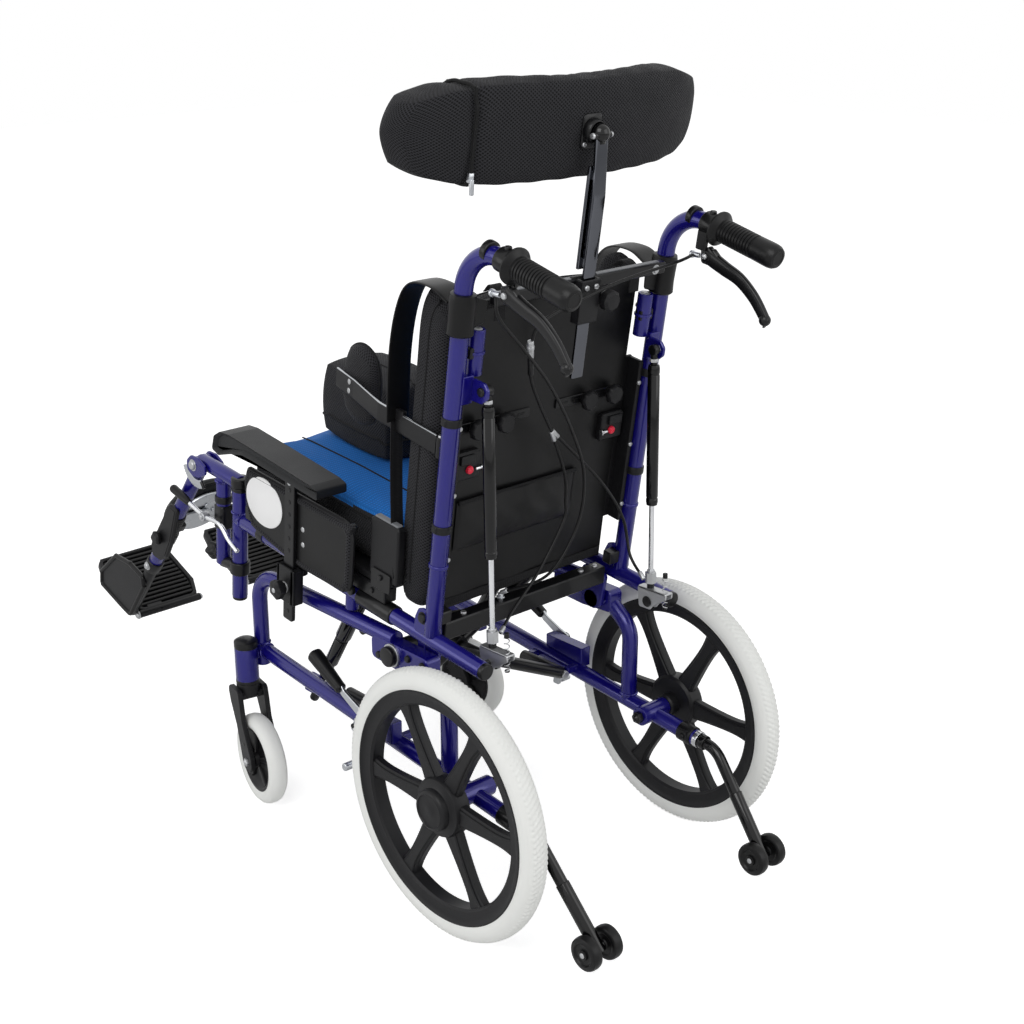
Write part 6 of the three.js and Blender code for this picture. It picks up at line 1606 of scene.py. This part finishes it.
def make_headrest():
    """Carrier on the cross bar, chrome stem with a second bar, ball bracket and a winged pad."""
    carrier = Piece(BACK)
    carrier.add("moulded black", *[block(x, y, CARRIER_Z, 3, chamfer) for x, y, chamfer in (
        ((-18, -12.4), (39, 53), 1.5), ((12.4, 18), (39, 53), 1.5), ((-18, 18), (50.2, 54), 1.4),
        ((-18, 18), (38.4, 42.2), 1.4))], block((-24, 24), (33, 39), (468, 490), 4, 1.6))
    carrier.add("moulded black", knob(CARRIER_KNOB, (-33, 42, 456), Y, 8, 0.03),
                block((-36, -12), (40, 46), (446, 466), 4, 1.5))
    carrier.add("zinc", bar(-33, (45, 48), 456, 17), *bolts([(x, 54, 478) for x in (-9, 9)], Y, 8, 2.4))
    carrier.object("head_socket", "back", "black_plastic", ["head_carrier"])

    stem = Piece(BACK)
    route = bent([(0, 46, 345), (0, 46, 600), (0, 38, 676)], 80)
    stem.add("dark chrome", sweep(route, section(5.6, 22, 20, 6), up=X, edge=1))
    stem.add("dark chrome", block((-1, 15), (34, 39), (500, 640), 3, 0.8),
             *[block((-1, 11), (38, 44), (z, z + 12), 2, 1) for z in (504, 622)])
    for k in range(7):
        stem.add("black metal", bar(0, (42.4, 43.4), 372 + 26 * k, 6, edge=0.3))
    a = np.linspace(-np.pi / 2, np.pi / 2, 20)
    stem.add("black gloss", lathe(np.column_stack([13 * np.cos(a), 13 * np.sin(a)]), placed(0, 35.3, 682), 40))
    stem.add("black gloss", rod((0, 39, 668), (0, 36, 678), 12), bar((-16, 16), 38, 680, 9, edge=1.5))
    stem.add("zinc", *[part for q in (-1, 1) for part in bolt((q * 16, 38, 680), q * X, 8, 3)])
    stem.object("head_stem", "headrest_stem", "chrome", ["headrest_stem"])

    place = BACK @ placed(0, -23, 682)
    verts, faces, corners = plumped("headrest", PAD_SIZE, (96, 14, 20), 0.2, cap=9, share=0.95, shape=winged)
    # The cover is drawn in by up to 5 mm along the zip, and lies in fine folds along both long edges
    pinch = np.exp(-(((verts[:, 0] - ZIP_X) / 9) ** 2))
    verts[:, 1] += (-WING * (ZIP_X / 290) ** 2 - verts[:, 1]) * 0.13 * pinch
    verts[:, 2] *= 1 - 0.06 * pinch
    edges = np.exp(-(((np.abs(verts[:, 2]) - 58) / 14) ** 2))
    verts[:, 2] += 0.7 * np.sin(verts[:, 0] / 8 + 2 * np.sin(verts[:, 2] / 19)) * edges
    pad = Piece(place)
    pad.add("black mesh", (verts, faces, corners))
    ring = zip_ring(verts)
    out = (ring - ring.mean(axis=0)) * 1.012 + ring.mean(axis=0)
    pad.add("zip tape", seam(out, 5.2, 200, up=X))
    teeth = smooth(np.vstack([out, out[:1]]), 90)
    for p, w in zip(teeth[:-1], unit(teeth - teeth.mean(axis=0))[:-1] * 1.6):
        pad.add("black metal", rod(p + w - (1.4, 0, 0), p + w + (1.4, 0, 0), 1.7, sides=6, edge=0))
    _, y, z = ring[np.argmin(ring[:, 2] - 0.5 * ring[:, 1])]
    pad.add("alloy", block((ZIP_X - 4, ZIP_X + 4), (y + 2, y + 9), (z + 3, z + 16), 2, 1),
            rod((ZIP_X, y + 9, z + 8), (ZIP_X, y + 10.5, z - 12), 6, edge=1))
    back_y = verts[(np.abs(verts[:, 0]) < 40) & (np.abs(verts[:, 2]) < 30), 1].max()
    plinth = rounded([(-17, -24), (17, -24), (17, 22), (-17, 22)], 7)
    cup = [(0, 0), (17, 0), (17, 5), (15.5, 9), (14.5, 12), (13.6, 12), (13.2, 9)]
    pad.add("black metal", plate(plinth, 0, 4, 1, across(Y, (0, back_y - 1.5, 0))))
    pad.add("black metal", lathe(cup, across(Y, (0, back_y + 2, 0)), 40))
    pad.add("zinc", *bolts([(x, back_y + 2.4, -18) for x in (-12, 12)], Y, 7, 2.4))
    pad.object("head_pad_cover", "headrest_pad", "black_mesh", ["headrest_pad"], smooth_all=True)


# Gas springs

SPRING_FOOT = (161, SPRING_Y, RAIL_Z)
SPRING_LEAN = 7.15


# Half outline of the cylinder, height of the upper eye, outline of a bracket cheek, and how far behind is the release
CYLINDER = [
    (0, 152.9), (6, 152.9), (8.2, 154), (8.6, 157), (8.95, 158), (8.95, 163), (8.3, 164), (8.3, 166), (8.95, 167),
    (8.95, 352), (8.3, 353), (8.3, 355), (8.95, 356), (8.95, 363), (8, 368), (5, 369), (0, 369)]
UPPER_EYE, RELEASE_Y = 389.9, 29.5
BRACKET_CHEEK = [(-17, -12), (-20, 21), (38, 21), (38, 12), (12, -4), (6, -12)]


def make_gas_springs():
    """Gloss black cylinders with ring lines, chrome rods, zinc brackets, nuts and release springs."""
    place = SEAT @ placed(*SPRING_FOOT, SPRING_LEAN)
    high = Piece(place)
    high.add("black gloss", lathe(CYLINDER, segments=40))
    high.add("black metal", bar(0, 0, (366, 386), 10), bar((-5, 5.4), 0, UPPER_EYE, 16, edge=1.5))
    high.add("zinc", bar(0, 0, (372, 377), 13, sides=6))
    both("gas_spring_cylinder", high, "gas_cylinder_{}", "black_metal", ["gas_cylinder_{}"])

    low = Piece(place)
    low.add("chrome", bar(0, 0, (26, 172), 7.8))
    low.add("black metal", bar((-5, 5), 0, 0, 17, edge=1.5), bar(0, 0, (4, 30), 11))
    low.add("zinc", lathe([(0, 29), (8.8, 29), (8.8, 46), (6, 47.4), (0, 47.4)], segments=6),
            bar(0, 0, (46, 50), 12))
    low.add("zinc", block((-8, 8), (-20, 38), (18, 21), 4, 0.7),
            *[side_plate(BRACKET_CHEEK, x, 0.6, 4) for x in ((5.4, 8), (-8, -5.4))])
    coil = np.linspace(0, 1, 200)
    turn = 2 * np.pi * 6 * coil
    wire = np.column_stack([3.7 * np.cos(turn), RELEASE_Y + 3.7 * np.sin(turn), -5 + 50 * coil])
    low.add("zinc", sweep(wire, section(1.5, sides=8), up=Z))
    low.add("black metal", bar(0, RELEASE_Y, (44, 52), 7.5, edge=1), bar(0, RELEASE_Y, (-7, -4), 7.5))
    both("gas_spring_rod", low, "gas_rod_{}", "chrome", ["gas_rod_{}"])


# Cables


def drape(piece):
    """Bakes a cable object's transform into its mesh."""
    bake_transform(piece)


def in_back(point):
    """A point of the seat's own place in the back's."""
    return moved(np.array([point], float), np.linalg.inv(BACK) @ SEAT)[0]


# A direction that no stretch of either cable runs along
CABLE_SIDE = (0.11, 0.97, 0.2)
# Recline cable: from the right lever to its twin connector, through it to the fork, then on to the left spring and
# over to the right one. Tilt cable: from the left lever down. Each lacks its last point, which is given in the seat's
# own place
LEVER_LEAD = [(-187, 66, 502), (-145, 70, 497), (-46, 64, 483), (58, 62, 460), (98, 60, 442), (104, 55, 413)]
LEAD_JOINT = [(104, 55, 413), (88, 46, 362), (60, 40, 316), (27, 36, 268)]
LEFT_BRANCH = [(27, 36, 268), (-14, 34, 190), (-24, 34, 143), (-20, 38, 112), (29, 50, 52), (100, 74, 16)]
RIGHT_BRANCH = [(27, 36, 268), (-92, 34, 159), (-150, 38, 84), (-152, 62, 30)]
TILT_LEAD = [(187, 66, 498), (184, 74, 470), (137, 76, 421), (72, 68, 355), (7, 58, 270), (-36, 52, 189),
             (-34, 54, 111), (12, 52, 40)]
# Height over the rail at which a cable meets its gas spring, and how far in from the side
NUT_HEIGHT, NUT_X = 38, 145.7


def ferrule(piece, place, towards, start, end, diameter=7):
    """A zinc ferrule from start to end on the line between two points of a cable."""
    place = np.array(place, float)
    way = unit(np.array(towards, float) - place)
    piece.add("zinc", rod(place + way * start, place + way * end, diameter, edge=1))


def make_cables():
    """Black jackets with zinc ferrules and a twin connector, drawn in the back's own place."""
    jacket = section(sizes().cable / MM, sides=16)
    recline = Piece(BACK)
    lean = NUT_HEIGHT * np.sin(np.radians(SPRING_LEAN))
    left_end = in_back((NUT_X, SPRING_Y - lean, RAIL_Z + NUT_HEIGHT))
    right_end = left_end * (-1, 1, 1)
    for route in (LEVER_LEAD, LEAD_JOINT, LEFT_BRANCH + [tuple(left_end)], RIGHT_BRANCH + [tuple(right_end)]):
        recline.add("black rubber", sweep(smooth(route, 30 * len(route)), jacket, up=CABLE_SIDE))
    joint = np.array(LEAD_JOINT[:2], float)
    way = unit(joint[1] - joint[0])
    recline.add("zinc", rod(joint[0] - way * 8, joint[0] + way * 20, 9, edge=1.2),
                rod(joint[0], joint[0] + way * 6, 10.6))
    recline.add("black metal", rod(joint[0] + way * 20, joint[1] - way * 4, 8.4, edge=1))
    for branch in (LEFT_BRANCH, RIGHT_BRANCH):
        ferrule(recline, LEAD_JOINT[3], branch[1], 4, 22)
    ferrule(recline, left_end, LEFT_BRANCH[-1], 0, 14)
    ferrule(recline, right_end, RIGHT_BRANCH[-1], 0, 14)
    drape(recline.object("recline_cable_jacket", "", "black_rubber", ["recline_cable"]))

    tilt = Piece(BACK)
    foot = in_back(ADJUSTER_TOP)
    tilt.add("black rubber", sweep(smooth(TILT_LEAD + [tuple(foot)], 260), jacket, up=CABLE_SIDE))
    ferrule(tilt, foot, TILT_LEAD[-1], 0, 12, 7.5)
    drape(tilt.object("tilt_cable_jacket", "", "black_rubber", ["tilt_cable"]))


# Straps


def strap(route, width, thick=1.8):
    """A webbing strap: a flat section along a smooth route."""
    return sweep(smooth(route, 40), section(thick, width, 16, 5), up=X, edge=0.6)


# Harness over the back cushion and its belt below the buckle, left side, then the loop on the cushion's corner
HARNESS = [(186, -4, 470), (187, -40, 480), (186, -84, 470), (185, -106, 430), (185, -114, 360), (184, -110, 260)]
BELT = [(184, -112, 268), (187, -100, 180), (190, -84, 90), (193, -70, 30)]
CORNER_LOOP = [(120, -18, 470), (124, -4, 482), (128, 12, 470), (128, 16, 440)]


def make_straps():
    """Harness straps over the back cushion's edges, with buckles, and loops on the cushion's corners."""
    piece = Piece(BACK)
    for side in (-1, 1):
        mirror = (side, 1, 1)
        piece.add("vinyl", strap(np.multiply(HARNESS, mirror), 40, 3.4))
        piece.add("webbing", strap(np.multiply(BELT, mirror), 22, 2))
        piece.add("moulded black", block((side * 181, side * 189), (-126, -94), (262, 278), 4, 1.4))
    piece.add("webbing", *[strap(np.multiply(CORNER_LOOP, (side, 1, 1)), 20) for side in (-1, 1)])
    piece.object("harness_straps", "back", "black_mesh")


# Stage

# Half side of the floor and its height, in metres: just under the tyres
FLOOR_HALF, FLOOR_Z = 9, -0.0006
# name: place, point looked at (metres), side of the square (metres), power (watts)
LAMPS = {
    "key_lamp": ((2.6, 1.6, 3.4), (0, 0, 0.6), 2.4, 62),
    "fill_lamp": ((-1.4, 3.6, 2.2), (0, 0, 0.6), 2.6, 30),
    "side_lamp": ((3.6, -1.6, 1.6), (0, 0, 0.5), 2.0, 22),
}


def make_stage():
    """White floor that keeps the chair's shadow, white world and soft lamps."""
    mesh = bpy.data.meshes.new("studio_floor")
    signs = ((-1, -1), (1, -1), (1, 1), (-1, 1))
    mesh.from_pydata([(FLOOR_HALF * i, FLOOR_HALF * j, FLOOR_Z) for i, j in signs], [], [(0, 1, 2, 3)])
    floor = linked("studio_floor", mesh)
    white = bpy.data.materials.new("studio white")
    white.use_nodes = True
    tree = white.node_tree
    seen = new_node(tree, "LightPath", {}).outputs["Is Camera Ray"]
    fill(tree, tree.nodes["Principled BSDF"], {
        "Base Color": (0.9, 0.9, 0.9, 1), "Roughness": 0.9, "Specular IOR Level": 0.1,
        "Emission Color": (1, 1, 1, 1), "Emission Strength": math_node(tree, "MULTIPLY", seen, 0.62)})
    mesh.materials.append(white)

    bpy.context.scene.view_settings.view_transform = "Standard"
    world = bpy.data.worlds.new("studio")
    bpy.context.scene.world = world
    world.use_nodes = True
    tree = world.node_tree
    rays = new_node(tree, "LightPath", {}).outputs
    seen = math_node(tree, "MAXIMUM", rays["Is Camera Ray"], rays["Is Glossy Ray"])
    seen = math_node(tree, "MAXIMUM", seen, rays["Is Transmission Ray"])
    fill(tree, tree.nodes["Background"], {
        "Color": (1, 1, 1, 1), "Strength": math_node(tree, "MULTIPLY_ADD", seen, 0.5, 0.5)})

    for name, (place, aim, size, energy) in LAMPS.items():
        data = bpy.data.lights.new(name, "AREA")
        data.size, data.energy = size, energy
        aim_from(linked(name, data), place, np.subtract(aim, place))


def aim_from(obj, place, direction):
    """Puts a lamp or camera at a place so that it looks along the direction, upright."""
    turn = across(-np.asarray(direction, float), place)
    obj.location = place
    obj.rotation_euler = Matrix(turn[:3, :3].tolist()).to_euler()


# The camera that was solved from the photograph: place in metres, then azimuth and elevation in degrees
CAMERA_PLACE = (1.5441, 1.97165, 1.3804)
CAMERA_TURN = (137.511, 19.96)
CAMERA_LENS, CAMERA_SENSOR = 57.46, 36


def make_camera():
    """The camera of the photograph."""
    data = bpy.data.cameras.new("photo_camera")
    data.lens, data.sensor_width = CAMERA_LENS, CAMERA_SENSOR
    data.clip_start, data.clip_end = 0.05, 60
    camera = linked("photo_camera", data)
    azimuth, elevation = np.radians(CAMERA_TURN)
    aim_from(camera, CAMERA_PLACE, (
        -np.sin(azimuth) * np.cos(elevation), np.cos(azimuth) * np.cos(elevation), -np.sin(elevation)))
    bpy.context.scene.camera = camera


# Operators: one for each piece or group, in the order in which they run


class WheelchairStep(bpy.types.Operator):
    """Base of the build steps: runs its own functions and reports how many there were."""

    bl_options = {"REGISTER", "UNDO"}
    steps = ()

    def execute(self, context):
        for step in self.steps:
            step()
        self.report({"INFO"}, f"{self.bl_label}: {len(self.steps)} made")
        return {"FINISHED"}


class WHEELCHAIR_OT_camera(WheelchairStep):
    """Adds the camera at the photograph's viewing angle"""

    bl_idname, bl_label = "wheelchair.camera", "Camera"
    steps = (make_camera,)


class WHEELCHAIR_OT_cables(WheelchairStep):
    """Adds the release cables"""

    bl_idname, bl_label = "wheelchair.cables", "Cables"
    steps = (make_cables,)


class WHEELCHAIR_OT_base(WheelchairStep):
    """Adds the base frame, its cross brace, the wheel locks and the tilt struts"""

    bl_idname, bl_label = "wheelchair.base", "Base frame"
    steps = (make_base_frame, make_cross_brace, make_wheel_locks, make_tilt_struts)


class WHEELCHAIR_OT_wheels(WheelchairStep):
    """Adds the rear wheels, the casters and the anti tip wheels"""

    bl_idname, bl_label = "wheelchair.wheels", "Wheels"
    steps = (make_rear_wheels, make_casters, make_anti_tips)


class WHEELCHAIR_OT_seat(WheelchairStep):
    """Adds the seat rails, the seat board, its cushion and the pommel"""

    bl_idname, bl_label = "wheelchair.seat", "Seat"
    steps = (make_seat_rails, make_seat_pan, make_seat_cushion, make_pommel)


class WHEELCHAIR_OT_arms(WheelchairStep):
    """Adds the height adjustable arms"""

    bl_idname, bl_label = "wheelchair.arms", "Arms"
    steps = (make_arms,)


class WHEELCHAIR_OT_legs(WheelchairStep):
    """Adds the elevating leg rests with their footplates, calf pads and levers"""

    bl_idname, bl_label = "wheelchair.legs", "Leg rests"
    steps = (make_hangers, make_leg_tubes, make_footplates, make_calf_pads, make_leg_levers)


class WHEELCHAIR_OT_back(WheelchairStep):
    """Adds the reclining back with its grips, levers, panel, cushion, laterals, springs and straps"""

    bl_idname, bl_label = "wheelchair.back", "Back"
    steps = (make_canes, make_grips, make_hand_levers, make_back_panel, make_back_cushion, make_laterals,
             make_gas_springs, make_straps)


class WHEELCHAIR_OT_headrest(WheelchairStep):
    """Adds the headrest with its carrier and stem"""

    bl_idname, bl_label = "wheelchair.headrest", "Headrest"
    steps = (make_headrest,)


class WHEELCHAIR_OT_stage(WheelchairStep):
    """Adds the white floor, the world and the lamps"""

    bl_idname, bl_label = "wheelchair.stage", "Stage"
    steps = (make_stage,)


OPERATORS = (
    WHEELCHAIR_OT_camera, WHEELCHAIR_OT_cables, WHEELCHAIR_OT_base, WHEELCHAIR_OT_wheels, WHEELCHAIR_OT_seat,
    WHEELCHAIR_OT_arms, WHEELCHAIR_OT_legs, WHEELCHAIR_OT_back, WHEELCHAIR_OT_headrest, WHEELCHAIR_OT_stage,
)


class VIEW3D_PT_wheelchair(bpy.types.Panel):
    """Sidebar panel with the settings and the build steps"""

    bl_label = "Wheelchair"
    bl_space_type = "VIEW_3D"
    bl_region_type = "UI"
    bl_category = "Wheelchair"

    def draw(self, context):
        for settings in (context.scene.wheelchair_sizes, context.scene.wheelchair_looks):
            column = self.layout.column(align=True)
            for name in type(settings).__annotations__:
                column.prop(settings, name)
        column = self.layout.column()
        for operator in OPERATORS:
            column.operator(operator.bl_idname)


CLASSES = (WheelchairSizes, WheelchairLooks, *OPERATORS, VIEW3D_PT_wheelchair)


def register():
    for cls in CLASSES:
        bpy.utils.register_class(cls)
    bpy.types.Scene.wheelchair_sizes = bpy.props.PointerProperty(type=WheelchairSizes)
    bpy.types.Scene.wheelchair_looks = bpy.props.PointerProperty(type=WheelchairLooks)


def unregister():
    del bpy.types.Scene.wheelchair_looks
    del bpy.types.Scene.wheelchair_sizes
    for cls in reversed(CLASSES):
        bpy.utils.unregister_class(cls)


def main():
    """Registers the add-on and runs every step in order."""
    register()
    for operator in OPERATORS:
        group, name = operator.bl_idname.split(".")
        getattr(getattr(bpy.ops, group), name)()


if __name__ == "__main__":
    main()
